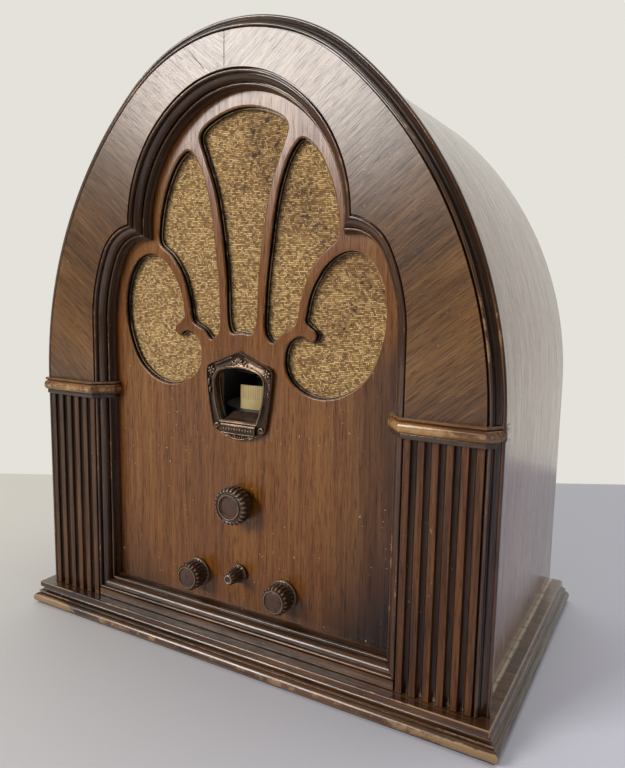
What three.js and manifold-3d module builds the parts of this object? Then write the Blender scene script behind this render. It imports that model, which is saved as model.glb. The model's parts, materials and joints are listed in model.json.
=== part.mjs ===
// A cathedral table radio of about 1931: arched walnut cabinet, fretwork grille, bronze dial
// escutcheon, moulded knobs and a valve chassis with its own loudspeaker.
// Millimetres. +X is the right-hand side seen from the front, +Y the back, +Z up.
// The origin is the middle of the underside.
import * as THREE from 'three';
import { mergeVertices } from 'three/addons/utils/BufferGeometryUtils.js';
import Module from 'manifold-3d';

const wasm = await Module();
wasm.setup();

// ---------------------------------------------------------------- driving dimensions
const GAP = 0.3; // between neighbouring pieces
const RAD = Math.PI / 180;

const BASE = { width: 420, depth: 262, height: 20.5 };
const FRONT_Y = -120.5; // face of the arched veneer and of the pilaster ridges
const FRAME_DEPTH = 16.6; // from that face back to the fretwork panel
const PANEL_Y = FRONT_Y + FRAME_DEPTH;
const PANEL_DEPTH = 6;
const CLOTH_DEPTH = 1.1;
const BAFFLE_DEPTH = 10;
const BACK_Y = 127; // rear edge of the bent side wrap
const WRAP_WALL = 6;

// The arch: upright sides, two large arcs and a tighter crown.
const ARCH = { halfWidth: 190, springZ: 204.8, sideRadius: 294, crownZ: 324.1 };
const EDGE_WIDTH = 10; // moulding round the outside of the arch

// The trefoil opening in the arch.
const TREFOIL = {
  halfWidth: 137.5,
  springZ: 257.3,
  haunchRadius: 126,
  shoulderRadius: 38,
  shoulderAngle: 26,
  crownZ: 349.1,
  crownRadius: 86.1,
  flankRadius: 107.1,
  crownAngle: 60.9,
};
const OPENING_WIDTH = 11.2; // moulding round the inside of the opening
const SILL_TOP = 38.3;

const CAPITAL = { bottom: 193.3, top: 207, outerX: 203, innerX: 123.9 };
const PILASTER = { innerX: 137.8, outerX: 189.7, ridges: 6 };

const DIAL = { bandBottom: 193.4, bandTop: 211.9, radius: 45, axisY: -47 };
const WINDOW = { top: 226.5, bottom: 186.5, halfTop: 21.8, halfBottom: 15.5 };
const TUNING = { x: 0, z: 122.8 };
const VOLUME = { x: -40.5, z: 58.4 };
const TONE = { x: 40.5, z: 58.4 };
const SWITCH = { x: 0, z: 66.3 };
const SHAFT_RADIUS = 3.2;

const CHASSIS = { halfWidth: 150, front: -92, back: 96, bottom: 30, top: 92, wall: 1.5 };
const SPEAKER = { z: 318, flange: 98, mouth: 88 };

const base = BASE.height + GAP; // cabinet pieces stand on the base
const baffleY = PANEL_Y + PANEL_DEPTH + 0.4 + CLOTH_DEPTH + 0.4;
const baffleBack = baffleY + BAFFLE_DEPTH;

// ---------------------------------------------------------------- solids
function toSolid(geometry) {
  const bare = geometry.clone();
  bare.deleteAttribute('normal');
  bare.deleteAttribute('uv');
  const merged = mergeVertices(bare, 1e-4);
  const vertProperties = new Float32Array(merged.attributes.position.array);
  const triVerts = new Uint32Array(merged.index.array);
  const solid = new wasm.Manifold(new wasm.Mesh({ numProp: 3, vertProperties, triVerts }));
  if (solid.volume() > 0) return solid;
  for (let i = 0; i < triVerts.length; i += 3) {
    [triVerts[i + 1], triVerts[i + 2]] = [triVerts[i + 2], triVerts[i + 1]];
  }
  return new wasm.Manifold(new wasm.Mesh({ numProp: 3, vertProperties, triVerts }));
}

function toGeometry(solid) {
  const mesh = solid.getMesh();
  const geometry = new THREE.BufferGeometry();
  geometry.setAttribute('position', new THREE.BufferAttribute(mesh.vertProperties, 3));
  geometry.setIndex(new THREE.BufferAttribute(mesh.triVerts, 1));
  geometry.computeVertexNormals();
  return geometry;
}

function join(...geometries) {
  const [first, ...rest] = geometries.map(toSolid);
  return toGeometry(rest.reduce((sum, solid) => sum.add(solid), first));
}

function cut(geometry, ...tools) {
  return toGeometry(tools.map(toSolid).reduce((left, tool) => left.subtract(tool), toSolid(geometry)));
}

function mirrored(geometry) {
  const copy = geometry.clone();
  copy.scale(-1, 1, 1);
  return toGeometry(toSolid(copy));
}

// A box between two corners.
function block([x0, y0, z0], [x1, y1, z1]) {
  const geometry = new THREE.BoxGeometry(x1 - x0, y1 - y0, z1 - z0);
  return geometry.translate((x0 + x1) / 2, (y0 + y1) / 2, (z0 + z1) / 2);
}

// An outline in the X-Z plane, given depth from yFront back to yBack.
function slab(shape, yFront, yBack, curveSegments = 4) {
  const options = { depth: yBack - yFront, bevelEnabled: false, curveSegments };
  return new THREE.ExtrudeGeometry(shape, options).rotateX(Math.PI / 2).translate(0, yBack, 0);
}

// An outline in the X-Y plane, given height from zBottom to zTop.
function tier(shape, zBottom, zTop, curveSegments = 4) {
  const options = { depth: zTop - zBottom, bevelEnabled: false, curveSegments };
  return new THREE.ExtrudeGeometry(shape, options).translate(0, 0, zBottom);
}

// A turned solid about the Y axis through (x, z); the profile is [radius, y] pairs.
function turnedY(profile, x, z, segments = 16) {
  const points = profile.map(([radius, y]) => new THREE.Vector2(radius, y));
  return new THREE.LatheGeometry(points, segments).translate(x, 0, z);
}

// A turned solid about the vertical through (x, y); the profile is [radius, z] pairs.
function turnedZ(profile, x, y, segments = 16) {
  const points = profile.map(([radius, z]) => new THREE.Vector2(radius, z));
  return new THREE.LatheGeometry(points, segments).rotateX(Math.PI / 2).translate(x, y, 0);
}

const rodY = (radius, y0, y1, x, z, segments = 12) =>
  turnedY([[0, y0], [radius, y0], [radius, y1], [0, y1]], x, z, segments);
const rodZ = (radius, z0, z1, x, y, segments = 12) =>
  turnedZ([[0, z0], [radius, z0], [radius, z1], [0, z1]], x, y, segments);

function polygon(points) {
  return new THREE.Shape(points.map(([x, y]) => new THREE.Vector2(x, y)));
}

// ---------------------------------------------------------------- outlines
// The arch grown outwards by `grow`, from `bottom` up and over.
function archShape(grow, bottom = base) {
  const { halfWidth, springZ, sideRadius, crownZ } = ARCH;
  const sideX = sideRadius - halfWidth;
  const rise = crownZ - springZ;
  const angle = Math.atan2(rise, sideX);
  const crownRadius = sideRadius - Math.hypot(sideX, rise);
  const shape = new THREE.Shape();
  shape.moveTo(-halfWidth - grow, bottom);
  shape.lineTo(halfWidth + grow, bottom);
  shape.absarc(-sideX, springZ, sideRadius + grow, 0, angle);
  shape.absarc(0, crownZ, crownRadius + grow, angle, Math.PI - angle);
  shape.absarc(sideX, springZ, sideRadius + grow, Math.PI - angle, Math.PI);
  shape.closePath();
  return shape;
}

// Where two circles cross, on the upper side.
function crossing([ax, az], ra, [bx, bz], rb) {
  const dx = bx - ax;
  const dz = bz - az;
  const d = Math.hypot(dx, dz);
  const along = (ra * ra - rb * rb + d * d) / (2 * d);
  const across = Math.sqrt(ra * ra - along * along);
  const side = dx < 0 ? -1 : 1;
  return [ax + (along * dx - side * across * dz) / d, az + (along * dz + side * across * dx) / d];
}

// The trefoil shrunk inwards by `shrink`, from `bottom` up and over.
function trefoilShape(shrink, bottom = base) {
  const t = TREFOIL;
  const a = t.shoulderAngle * RAD;
  const b = t.crownAngle * RAD;
  const haunch = [t.halfWidth - t.haunchRadius, t.springZ];
  const reach = t.haunchRadius - t.shoulderRadius;
  const shoulder = [haunch[0] + reach * Math.cos(a), haunch[1] + reach * Math.sin(a)];
  const inset = t.flankRadius - t.crownRadius;
  const flank = [-inset * Math.cos(b), t.crownZ - inset * Math.sin(b)];
  const rShoulder = t.shoulderRadius - shrink;
  const rFlank = t.flankRadius - shrink;
  const cusp = crossing(shoulder, rShoulder, flank, rFlank);
  const shoulderEnd = Math.atan2(cusp[1] - shoulder[1], cusp[0] - shoulder[0]);
  const flankStart = Math.atan2(cusp[1] - flank[1], cusp[0] - flank[0]);
  const shape = new THREE.Shape();
  shape.moveTo(-t.halfWidth + shrink, bottom);
  shape.lineTo(t.halfWidth - shrink, bottom);
  shape.absarc(haunch[0], haunch[1], t.haunchRadius - shrink, 0, a);
  shape.absarc(shoulder[0], shoulder[1], rShoulder, a, shoulderEnd);
  shape.absarc(flank[0], flank[1], rFlank, flankStart, b);
  shape.absarc(0, t.crownZ, t.crownRadius - shrink, b, Math.PI - b);
  shape.absarc(-flank[0], flank[1], rFlank, Math.PI - b, Math.PI - flankStart);
  shape.absarc(-shoulder[0], shoulder[1], rShoulder, Math.PI - shoulderEnd, Math.PI - a);
  shape.absarc(-haunch[0], haunch[1], t.haunchRadius - shrink, Math.PI - a, Math.PI);
  shape.closePath();
  return shape;
}

// A band between two grown arches or two shrunk trefoils, open at the foot.
function ringSlab(makeShape, outer, inner, yFront, yBack) {
  const around = slab(makeShape(outer), yFront, yBack);
  const hollow = slab(makeShape(inner, base - 10), yFront - 1, yBack + 1);
  return cut(around, hollow);
}

// ---------------------------------------------------------------- base
function baseTopBoard() {
  const half = 203.7;
  return block([-half, FRONT_Y - 7.9, BASE.height - 4.9], [half, BASE.depth / 2 - 5, BASE.height]);
}

function baseBottomBoard() {
  return block([-188, -106, 0], [188, BASE.depth / 2 - 5, BASE.height - 5.2]);
}

// Steps of the base moulding: [how far it stands in from the widest line, bottom, top].
const BASE_STEPS = [[0, 0, 10.6], [3.4, 10.6, 12.6], [5.2, 12.6, BASE.height - 5.2]];

// The front and side runs meet on the diagonals of the front corners.
function mouldingRun(side) {
  const halfW = BASE.width / 2;
  const front = -BASE.depth / 2;
  const back = BASE.depth / 2;
  const thickness = 21.7;
  const layers = BASE_STEPS.map(([inset, z0, z1]) => {
    if (side === 'front') {
      const inner = front + thickness;
      const outerX = halfW - inset;
      const innerX = halfW - thickness;
      const outline = polygon([[-outerX, front + inset], [outerX, front + inset],
        [innerX - GAP, inner], [-innerX + GAP, inner]]);
      return tier(outline, z0, z1);
    }
    const outline = polygon([[halfW - inset, front + inset + GAP * 2], [halfW - inset, back],
      [halfW - thickness, back], [halfW - thickness, front + thickness + GAP * 2]]);
    return tier(outline, z0, z1);
  });
  return join(...layers);
}

// ---------------------------------------------------------------- arch
function archFrame() {
  const shape = archShape(0);
  shape.holes.push(trefoilShape(0, base + 6));
  const legBack = block([-300, FRONT_Y - 1, base - 10], [300, FRONT_Y + 7.3, CAPITAL.bottom + 0.3]);
  const foot = block([-137.5, FRONT_Y - 1, base - 10], [137.5, PANEL_Y + 1, base + 8]);
  return cut(slab(shape, FRONT_Y, PANEL_Y - GAP), legBack, foot);
}

// Each step of a curved moulding: [from, to, how far its face stands behind the veneer].
const EDGE_STEPS = [[GAP, 3.8, 1.2], [3.7, 7.4, 4], [7.3, EDGE_WIDTH, 7.2]];
const OPENING_STEPS = [[GAP, 3.2, 1.2], [3.1, 7.2, 4.6], [7.1, 9.4, 8.6], [9.3, OPENING_WIDTH, 11.6]];

function outerEdgeMoulding() {
  return join(...EDGE_STEPS.map(([from, to, set]) =>
    ringSlab(archShape, to, from, FRONT_Y + set, PANEL_Y - GAP)));
}

function openingMoulding() {
  const ring = join(...OPENING_STEPS.map(([from, to, set]) =>
    ringSlab(trefoilShape, from, to, FRONT_Y + set, PANEL_Y - GAP)));
  const outer = TREFOIL.halfWidth;
  const inner = outer - OPENING_WIDTH;
  const mitre = polygon([[-inner, SILL_TOP], [inner, SILL_TOP], [outer + 2, SILL_TOP - OPENING_WIDTH - 2],
    [outer + 2, 0], [-outer - 2, 0], [-outer - 2, SILL_TOP - OPENING_WIDTH - 2]]);
  return cut(ring, slab(mitre, FRONT_Y - 1, PANEL_Y + 1));
}

function sillMoulding() {
  const outer = TREFOIL.halfWidth - 1.5 * GAP;
  const steps = OPENING_STEPS.map(([from, to, set]) => {
    const low = SILL_TOP - OPENING_WIDTH + from;
    const high = SILL_TOP - OPENING_WIDTH + to;
    const outline = polygon([[-outer + from, low], [outer - from, low],
      [outer - to, high], [-outer + to, high]]);
    return slab(outline, FRONT_Y + set, PANEL_Y - GAP);
  });
  const foot = SILL_TOP - OPENING_WIDTH + 0.6;
  const half = outer - 0.6;
  const fascia = block([-half, FRONT_Y + 0.6, base], [half, PANEL_Y - GAP, foot]);
  return join(fascia, ...steps);
}

function pilaster() {
  const { innerX, outerX, ridges } = PILASTER;
  const strip = (outerX - innerX) / (2 * ridges - 1);
  const bottom = base;
  const top = CAPITAL.bottom;
  const body = block([innerX, FRONT_Y, bottom], [outerX, FRONT_Y + 7, top]);
  const grooves = [];
  for (let i = 0; i < ridges - 1; i += 1) {
    const x = innerX + strip * (2 * i + 1);
    grooves.push(block([x, FRONT_Y - 1, bottom + 5], [x + strip, FRONT_Y + 3.6, top - 4]));
  }
  return cut(body, ...grooves);
}

// The capital wraps forward of the veneer and returns to the panel at both ends.
function capital() {
  const layers = [[0.6, CAPITAL.bottom, 196.2], [3, 196.1, 198.3], [0, 198.2, 204.6], [1.6, 204.5, 207]];
  const bands = layers.map(([inset, z0, z1]) => {
    const front = FRONT_Y - 5.6 + inset;
    const outline = polygon([
      [CAPITAL.innerX + inset * 0.3, front + 1], [CAPITAL.innerX + 1.5, front],
      [CAPITAL.outerX - inset * 0.5 - 2, front], [CAPITAL.outerX - inset * 0.5, front + 2],
      [CAPITAL.outerX - inset * 0.5, PANEL_Y - GAP], [200.4, PANEL_Y - GAP],
      [200.4, FRONT_Y - GAP], [TREFOIL.halfWidth - OPENING_WIDTH - GAP, FRONT_Y - GAP],
      [TREFOIL.halfWidth - OPENING_WIDTH - GAP, PANEL_Y - GAP],
      [CAPITAL.innerX + inset * 0.3, PANEL_Y - GAP]]);
    return tier(outline, z0, z1);
  });
  return join(...bands);
}

function cabinetWrap() {
  const grow = 2.3;
  return ringSlab(archShape, grow, grow - WRAP_WALL, PANEL_Y, BACK_Y);
}

// ---------------------------------------------------------------- fretwork panel, cloth, baffle
const EAR = [[87.5, 311.7], [72, 304], [58.7, 284], [55.2, 267], [59.5, 258.3], [64.4, 253],
  [59, 250.2], [47, 251.2], [39.3, 243.2], [38.2, 229.5], [43.5, 219.3], [56, 211.4], [72, 209.3],
  [88, 214.1], [102.4, 225.4], [112, 244], [116.1, 267], [112.6, 291.3], [101, 308]];
const LANCET = [[49.7, 387.6], [60.3, 381], [73.2, 358.4], [79.5, 332.2], [79, 320.1], [66.7, 309.6],
  [56.5, 295], [50, 276], [46.2, 260], [35.9, 253.9], [27.9, 246.8], [21.2, 251.9], [20.5, 277],
  [24.6, 317], [31.3, 355.7], [40.9, 379.5]];
const FAN_HALF = [[0, 413.5], [16.5, 411], [35, 402.4], [38.6, 396.5], [34, 382], [25, 358],
  [18.8, 328], [14.6, 294], [12.3, 257], [9, 252.2], [0, 252.8]];

function smoothLoop(points, side = 1) {
  const curve = new THREE.CatmullRomCurve3(
    points.map(([x, z]) => new THREE.Vector3(side * x, z, 0)), true, 'centripetal');
  return new THREE.Shape(curve.getPoints(points.length * 2).slice(0, -1)
    .map((p) => new THREE.Vector2(p.x, p.y)));
}

function fanLoop() {
  const left = FAN_HALF.slice(1, -1).reverse().map(([x, z]) => [-x, z]);
  return smoothLoop([...FAN_HALF, ...left]);
}

// The dial window: an arched top that narrows towards the bottom.
function windowShape(grow) {
  const { top, bottom, halfTop, halfBottom } = WINDOW;
  const shape = new THREE.Shape();
  shape.moveTo(-halfBottom - grow, bottom - grow);
  shape.lineTo(halfBottom + grow, bottom - grow);
  shape.quadraticCurveTo(halfTop + grow, bottom + 14, halfTop + grow, top - 9);
  shape.quadraticCurveTo(halfTop - 2 + grow, top + grow, 0, top + grow);
  shape.quadraticCurveTo(-halfTop + 2 - grow, top + grow, -halfTop - grow, top - 9);
  shape.quadraticCurveTo(-halfTop - grow, bottom + 14, -halfBottom - grow, bottom - grow);
  return shape;
}

function frontPanel() {
  const front = PANEL_Y;
  const back = PANEL_Y + PANEL_DEPTH;
  const body = slab(archShape(-4.1), front, back);
  const openings = [smoothLoop(EAR), smoothLoop(EAR, -1), smoothLoop(LANCET), smoothLoop(LANCET, -1),
    fanLoop(), windowShape(0.6)];
  const holes = [TUNING, VOLUME, TONE, SWITCH].map(({ x, z }) => rodY(4.6, front - 1, back + 1, x, z));
  return cut(body, ...openings.map((shape) => slab(shape, front - 1, back + 1, 3)), ...holes);
}

function grilleCloth() {
  const bottom = 203;
  const notch = block([-30, PANEL_Y, bottom - 5], [30, baffleY, 243]);
  const front = PANEL_Y + PANEL_DEPTH + 0.4;
  return cut(slab(archShape(-14, bottom), front, front + CLOTH_DEPTH), notch);
}

function baffleBoard() {
  const body = slab(archShape(-4.1, 150), baffleY, baffleBack);
  const mouth = rodY(SPEAKER.mouth, baffleY - 1, baffleBack + 1, 0, SPEAKER.z, 24);
  const window = block([-29, baffleY - 1, 180], [29, baffleBack + 1, 227]);
  return cut(body, mouth, window);
}

// ---------------------------------------------------------------- escutcheon and knobs
function escutcheon() {
  const back = PANEL_Y - GAP;
  const outline = new THREE.Shape();
  const right = [[12.5, 173.4], [21, 177.5], [24.5, 181], [28.6, 204], [30.2, 224], [28, 228.5],
    [17, 231.5], [8, 236.5]];
  outline.moveTo(0, 171.7);
  right.forEach(([x, z]) => outline.lineTo(x, z));
  outline.lineTo(0, 239.3);
  [...right].reverse().forEach(([x, z]) => outline.lineTo(-x, z));
  outline.closePath();
  const plate = slab(outline, back - 3.4, back);
  const bezel = slab(windowShape(3), back - 4.6, back - 3);
  const nameBar = block([-16, back - 5, 175.6], [16, back - 3, 184.5]);
  const throat = slab(windowShape(0), back - 6, back + 10, 5);
  // A sloping ledge runs back from the foot of the window to just below the scale.
  const slope = new THREE.Shape();
  slope.moveTo(back - 2, WINDOW.bottom - 1);
  slope.lineTo(back + 9, WINDOW.bottom + 5.6);
  slope.lineTo(back + 9, WINDOW.bottom + 4.4);
  slope.lineTo(back + 0.2, WINDOW.bottom - 0.2);
  slope.lineTo(back - 0.5, WINDOW.bottom - 1);
  slope.closePath();
  const ledge = new THREE.ExtrudeGeometry(slope, { depth: 28, bevelEnabled: false });
  ledge.applyMatrix4(new THREE.Matrix4().makeBasis(
    new THREE.Vector3(0, 1, 0), new THREE.Vector3(0, 0, 1), new THREE.Vector3(1, 0, 0)));
  ledge.translate(-14, 0, 0);
  return join(cut(join(plate, bezel, nameBar), throat), ledge);
}

// A moulded knob: fluted side, raised rim ring, dished middle and a blind bore for its shaft.
function knob({ x, z }, radius, flutes, flange) {
  const back = PANEL_Y - 1;
  const front = FRONT_Y + 0.3;
  const outline = new THREE.Shape();
  const steps = flutes * 2;
  for (let i = 0; i < steps; i += 1) {
    const angle = (i / steps) * 2 * Math.PI;
    const r = radius * (i % 2 ? 0.94 : 1);
    const point = [r * Math.cos(angle), r * Math.sin(angle)];
    if (i === 0) outline.moveTo(...point);
    else outline.lineTo(...point);
  }
  outline.closePath();
  const body = slab(outline, front + 2.2, back - 3).translate(x, 0, z);
  const rim = rodY(radius * 0.86, front + 0.6, front + 2.4, x, z, 20);
  const skirt = rodY(flange, back - 3.2, back, x, z, 20);
  const dish = rodY(radius * 0.58, front - 1, front + 1.8, x, z, 20);
  const bore = rodY(SHAFT_RADIUS + GAP, front + 5, back + 1, x, z);
  const ring = cut(rodY(radius * 0.8, front, front + 1, x, z, 20), dish);
  return cut(join(body, rim, skirt, ring), dish, bore);
}

function switchKnob() {
  const back = PANEL_Y - 1;
  const { x, z } = SWITCH;
  const profile = [[0, back], [7.2, back], [7.2, back - 2.4], [5.9, back - 3.2], [4.3, back - 14.6],
    [3.4, back - 15.4], [0, back - 15.4]];
  const bore = rodY(2.6, back - 9, back + 1, x, z, 12);
  return cut(turnedY(profile, x, z, 18), bore);
}

function controlShaft({ x, z }, front, back, radius = SHAFT_RADIUS) {
  return rodY(radius, front, back, x, z);
}

// The body of a panel control: a can behind the chassis apron with its bush through it.
function control({ x, z }, radius, depth, bore) {
  const face = CHASSIS.front + CHASSIS.wall + GAP;
  const can = rodY(radius, face, face + depth, x, z, 20);
  const bush = rodY(5.6, CHASSIS.front - 2.5, face + 1, x, z, 12);
  return cut(join(can, bush), rodY(bore + GAP, CHASSIS.front - 4, face + depth - 4, x, z));
}

// ---------------------------------------------------------------- tuner
const ROLLER_RADIUS = 5;
const ROLLER_Y = DIAL.axisY - 30; // 30 mm from the drum's axis: the knob turns six times the drum
const DISC_Z = TUNING.z + ROLLER_RADIUS + GAP;
const FRAME_PLATES = { low: 134, high: 184, wall: 2 };

function driveRoller() {
  const ring = rodY(ROLLER_RADIUS, ROLLER_Y - 3, ROLLER_Y + 3, TUNING.x, TUNING.z, 20);
  return cut(ring, rodY(SHAFT_RADIUS + 0.05, ROLLER_Y - 4, ROLLER_Y + 4, TUNING.x, TUNING.z));
}

function tuningBracket() {
  const plate = block([-16, ROLLER_Y + 8, CHASSIS.top + GAP], [16, ROLLER_Y + 10, TUNING.z + 4.6]);
  const foot = block([-16, ROLLER_Y + 8, CHASSIS.top + GAP], [16, ROLLER_Y + 24, CHASSIS.top + 2.3]);
  const hole = rodY(SHAFT_RADIUS + GAP, ROLLER_Y + 7, ROLLER_Y + 11, TUNING.x, TUNING.z);
  return cut(join(plate, foot), hole);
}

function driveDisc() {
  const bore = SHAFT_RADIUS + 0.05;
  return turnedZ([[bore, DISC_Z], [36, DISC_Z], [36, DISC_Z + 2], [9, DISC_Z + 2], [9, DISC_Z + 4.5],
    [bore, DISC_Z + 4.5], [bore, DISC_Z]], 0, DIAL.axisY, 24);
}

function condenserShaft() {
  return rodZ(SHAFT_RADIUS, DISC_Z - 3, DIAL.bandBottom + 4, 0, DIAL.axisY);
}

function condenserFrame() {
  const { low, high, wall } = FRAME_PLATES;
  const y0 = DIAL.axisY - 30;
  const y1 = DIAL.axisY + 39;
  const lower = block([-32, y0, low], [32, y1, low + wall]);
  const upper = block([-32, y0, high], [32, y1, high + wall]);
  const back = block([-32, y1 - wall, low], [32, y1, high + wall]);
  const post = block([-32, y1 + 0.1 - wall, CHASSIS.top + GAP], [32, y1, low + wall]);
  const foot = block([-32, y1 - wall, CHASSIS.top + GAP], [32, y1 + 14, CHASSIS.top + 2.3]);
  const hole = rodZ(SHAFT_RADIUS + 0.6, low - 1, high + wall + 1, 0, DIAL.axisY);
  return cut(join(lower, upper, back, post, foot), hole);
}

const VANES = 5;
const VANE_PITCH = 8;
const vaneZ = (index) => FRAME_PLATES.low + 7 + index * VANE_PITCH;

function halfDisc(radius, side) {
  const shape = new THREE.Shape();
  shape.absarc(0, 0, radius, -side * Math.PI / 2, side * Math.PI / 2, side < 0);
  shape.closePath();
  return shape;
}

function rotorVanes() {
  const hub = rodZ(6, FRAME_PLATES.low + 3, FRAME_PLATES.high - 1, 0, 0);
  const blades = [];
  for (let i = 0; i < VANES; i += 1) {
    blades.push(tier(halfDisc(24, 1), vaneZ(i), vaneZ(i) + 1.4));
  }
  const bore = rodZ(SHAFT_RADIUS + 0.05, FRAME_PLATES.low, FRAME_PLATES.high + 2, 0, 0);
  return cut(join(hub, ...blades), bore).translate(0, DIAL.axisY, 0);
}

function statorVanes() {
  const blades = [];
  for (let i = 0; i < VANES; i += 1) {
    const z = vaneZ(i) + VANE_PITCH / 2;
    blades.push(block([-29, -22, z], [-7.5, 22, z + 1.4]));
  }
  const rail = block([-29, -14, FRAME_PLATES.low + 2.3], [-26, 14, FRAME_PLATES.high - GAP]);
  return join(rail, ...blades).translate(0, DIAL.axisY, 0);
}

// The scale band starts just left of the middle of the window and runs round to the back.
const BAND_START = -102 * RAD;
const BAND_END = 102 * RAD;

function dialDrum() {
  const bore = SHAFT_RADIUS + 0.05;
  const z = DIAL.bandBottom - 2.6;
  const disc = turnedZ([[bore, z], [DIAL.radius - 0.7, z], [DIAL.radius - 0.7, z + 2], [8, z + 2],
    [8, z + 6], [bore, z + 6], [bore, z]], 0, DIAL.axisY, 28);
  const rim = new THREE.Shape();
  rim.absarc(0, 0, DIAL.radius - 1, BAND_START, BAND_END);
  rim.absarc(0, 0, DIAL.radius - 2.4, BAND_END, BAND_START, true);
  rim.closePath();
  return join(disc, tier(rim, z, DIAL.bandTop, 8).translate(0, DIAL.axisY, 0));
}

function dialScale() {
  const strip = new THREE.Shape();
  strip.absarc(0, 0, DIAL.radius, BAND_START, BAND_END);
  strip.absarc(0, 0, DIAL.radius - 0.6, BAND_END, BAND_START, true);
  strip.closePath();
  return tier(strip, DIAL.bandBottom, DIAL.bandTop, 8).translate(0, DIAL.axisY, 0);
}

// The lamp hangs inside the drum from an arm that comes over its top edge. The arm also carries a
// dark shade that stands round the open side of the drum, so the window shows no daylight.
const SHADE = { radius: 48.5, wall: 1, bottom: 188, top: 224.5, start: 84, end: 229 };

function lampBracket() {
  const y = 8;
  const top = 217;
  const post = block([-5, y, CHASSIS.top + GAP], [5, y + 1.6, top]);
  const foot = block([-5, y, CHASSIS.top + GAP], [5, y + 14, CHASSIS.top + 2.3]);
  const arm = block([-5, -76, top - 1.6], [5, y + 1.6, top]);
  const cup = rodZ(5.5, top - 8, top - 0.5, 0, -71, 14);
  const curve = new THREE.Shape();
  curve.absarc(0, 0, SHADE.radius, SHADE.start * RAD, SHADE.end * RAD);
  curve.absarc(0, 0, SHADE.radius - SHADE.wall, SHADE.end * RAD, SHADE.start * RAD, true);
  curve.closePath();
  const shade = tier(curve, SHADE.bottom, SHADE.top, 10).translate(0, DIAL.axisY, 0);
  return cut(join(post, foot, arm, cup, shade), rodZ(4.3, top - 9, top - 2.5, 0, -71, 14));
}

function dialLamp() {
  return turnedZ([[0, 196.8], [3, 197.8], [5, 201], [4.2, 205.5], [3.9, 208], [3.9, 213.9], [0, 213.9]],
    0, -71, 14);
}

// ---------------------------------------------------------------- chassis
const deck = CHASSIS.top + GAP;

function chassis() {
  const { halfWidth, front, back, bottom, top, wall } = CHASSIS;
  const shell = block([-halfWidth, front, bottom], [halfWidth, back, top]);
  const inside = block([-halfWidth + wall, front + wall, bottom - 1], [halfWidth - wall, back - wall, top - wall]);
  const holes = [VOLUME, TONE, SWITCH].map(({ x, z }) => rodY(5.9, front - 1, front + 3, x, z, 12));
  const cordHole = rodY(8, back - 3, back + 1, GROMMET.x, GROMMET.z);
  return cut(shell, inside, ...holes, cordHole);
}

const GROMMET = { x: -104, z: 55 };

function cordGrommet() {
  const y = CHASSIS.back;
  return turnedY([[4, y - 3.6], [10, y - 3.6], [10, y - 1.8], [7.7, y - 1.8], [7.7, y + 0.3],
    [10, y + 0.3], [10, y + 2.2], [4, y + 2.2], [4, y - 3.6]], GROMMET.x, GROMMET.z, 18);
}

function powerTransformer() {
  const core = block([74, 14, deck + 22], [146, 84, deck + 44]);
  const lower = block([80, 20, deck], [140, 78, deck + 23]);
  const upper = block([80, 20, deck + 43], [140, 78, deck + 70]);
  return join(core, lower, upper);
}

function valveBase(x, y) {
  return turnedZ([[0, deck], [17, deck], [17, deck + 5], [15, deck + 5.5], [15, deck + 24],
    [0, deck + 24]], x, y);
}

function valveBulb(x, y) {
  const z = deck + 24 + GAP;
  return turnedZ([[0, z], [13.5, z], [14.5, z + 8], [22, z + 26], [23.5, z + 40], [21, z + 54],
    [12, z + 66], [0, z + 70]], x, y);
}

function valveShield(x, y) {
  return turnedZ([[0, deck], [19, deck], [19, deck + 62], [13, deck + 74], [13, deck + 92],
    [8, deck + 96], [0, deck + 96]], x, y);
}

function coilCan(x, y) {
  return turnedZ([[0, deck], [17.5, deck], [17.5, deck + 68], [15, deck + 71], [0, deck + 71]], x, y);
}

function capacitorCan(x, y) {
  return turnedZ([[0, deck], [17, deck], [17, deck + 86], [14, deck + 90], [0, deck + 90]], x, y, 18);
}

// ---------------------------------------------------------------- loudspeaker
const speakerY = baffleBack + GAP;

function speakerBasket() {
  const y = speakerY;
  const shell = turnedY([[SPEAKER.mouth + 1, y], [SPEAKER.flange, y], [SPEAKER.flange, y + 2],
    [SPEAKER.mouth + 4, y + 2.5], [40, y + 46], [40, y + 48], [20, y + 48], [20, y + 46],
    [37, y + 46], [SPEAKER.mouth + 1, y + 3], [SPEAKER.mouth + 1, y]], 0, SPEAKER.z, 24);
  const windows = [];
  for (let i = 0; i < 6; i += 1) {
    const window = block([-19, y + 10, 36], [19, y + 38, 100]);
    windows.push(window.rotateY((i + 0.5) * Math.PI / 3).translate(0, 0, SPEAKER.z));
  }
  return cut(shell, ...windows);
}

function speakerCone() {
  const y = speakerY;
  const r = SPEAKER.mouth;
  return turnedY([[0, y + 34], [15, y + 38], [r - 6, y + 2], [r, y + 1], [r, y + 2], [r - 5, y + 3.4],
    [15, y + 40], [13, y + 44], [0, y + 44]], 0, SPEAKER.z, 24);
}

function fieldCoil() {
  const y = speakerY + 48 + GAP;
  return turnedY([[0, y], [38, y], [38, y + 5], [33, y + 5], [33, y + 42], [38, y + 42], [38, y + 48],
    [0, y + 48]], 0, SPEAKER.z, 18);
}

function outputTransformer() {
  const y = speakerY + 50;
  const z = SPEAKER.z + 38.3;
  return join(block([-26, y + 6, z], [26, y + 34, z + 34]), block([-20, y, z + 6], [20, y + 40, z + 28]));
}

// ---------------------------------------------------------------- materials
function finish(color, roughness, metalness = 0, extra = {}) {
  return new THREE.MeshStandardMaterial({ color, roughness, metalness, ...extra });
}

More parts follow.
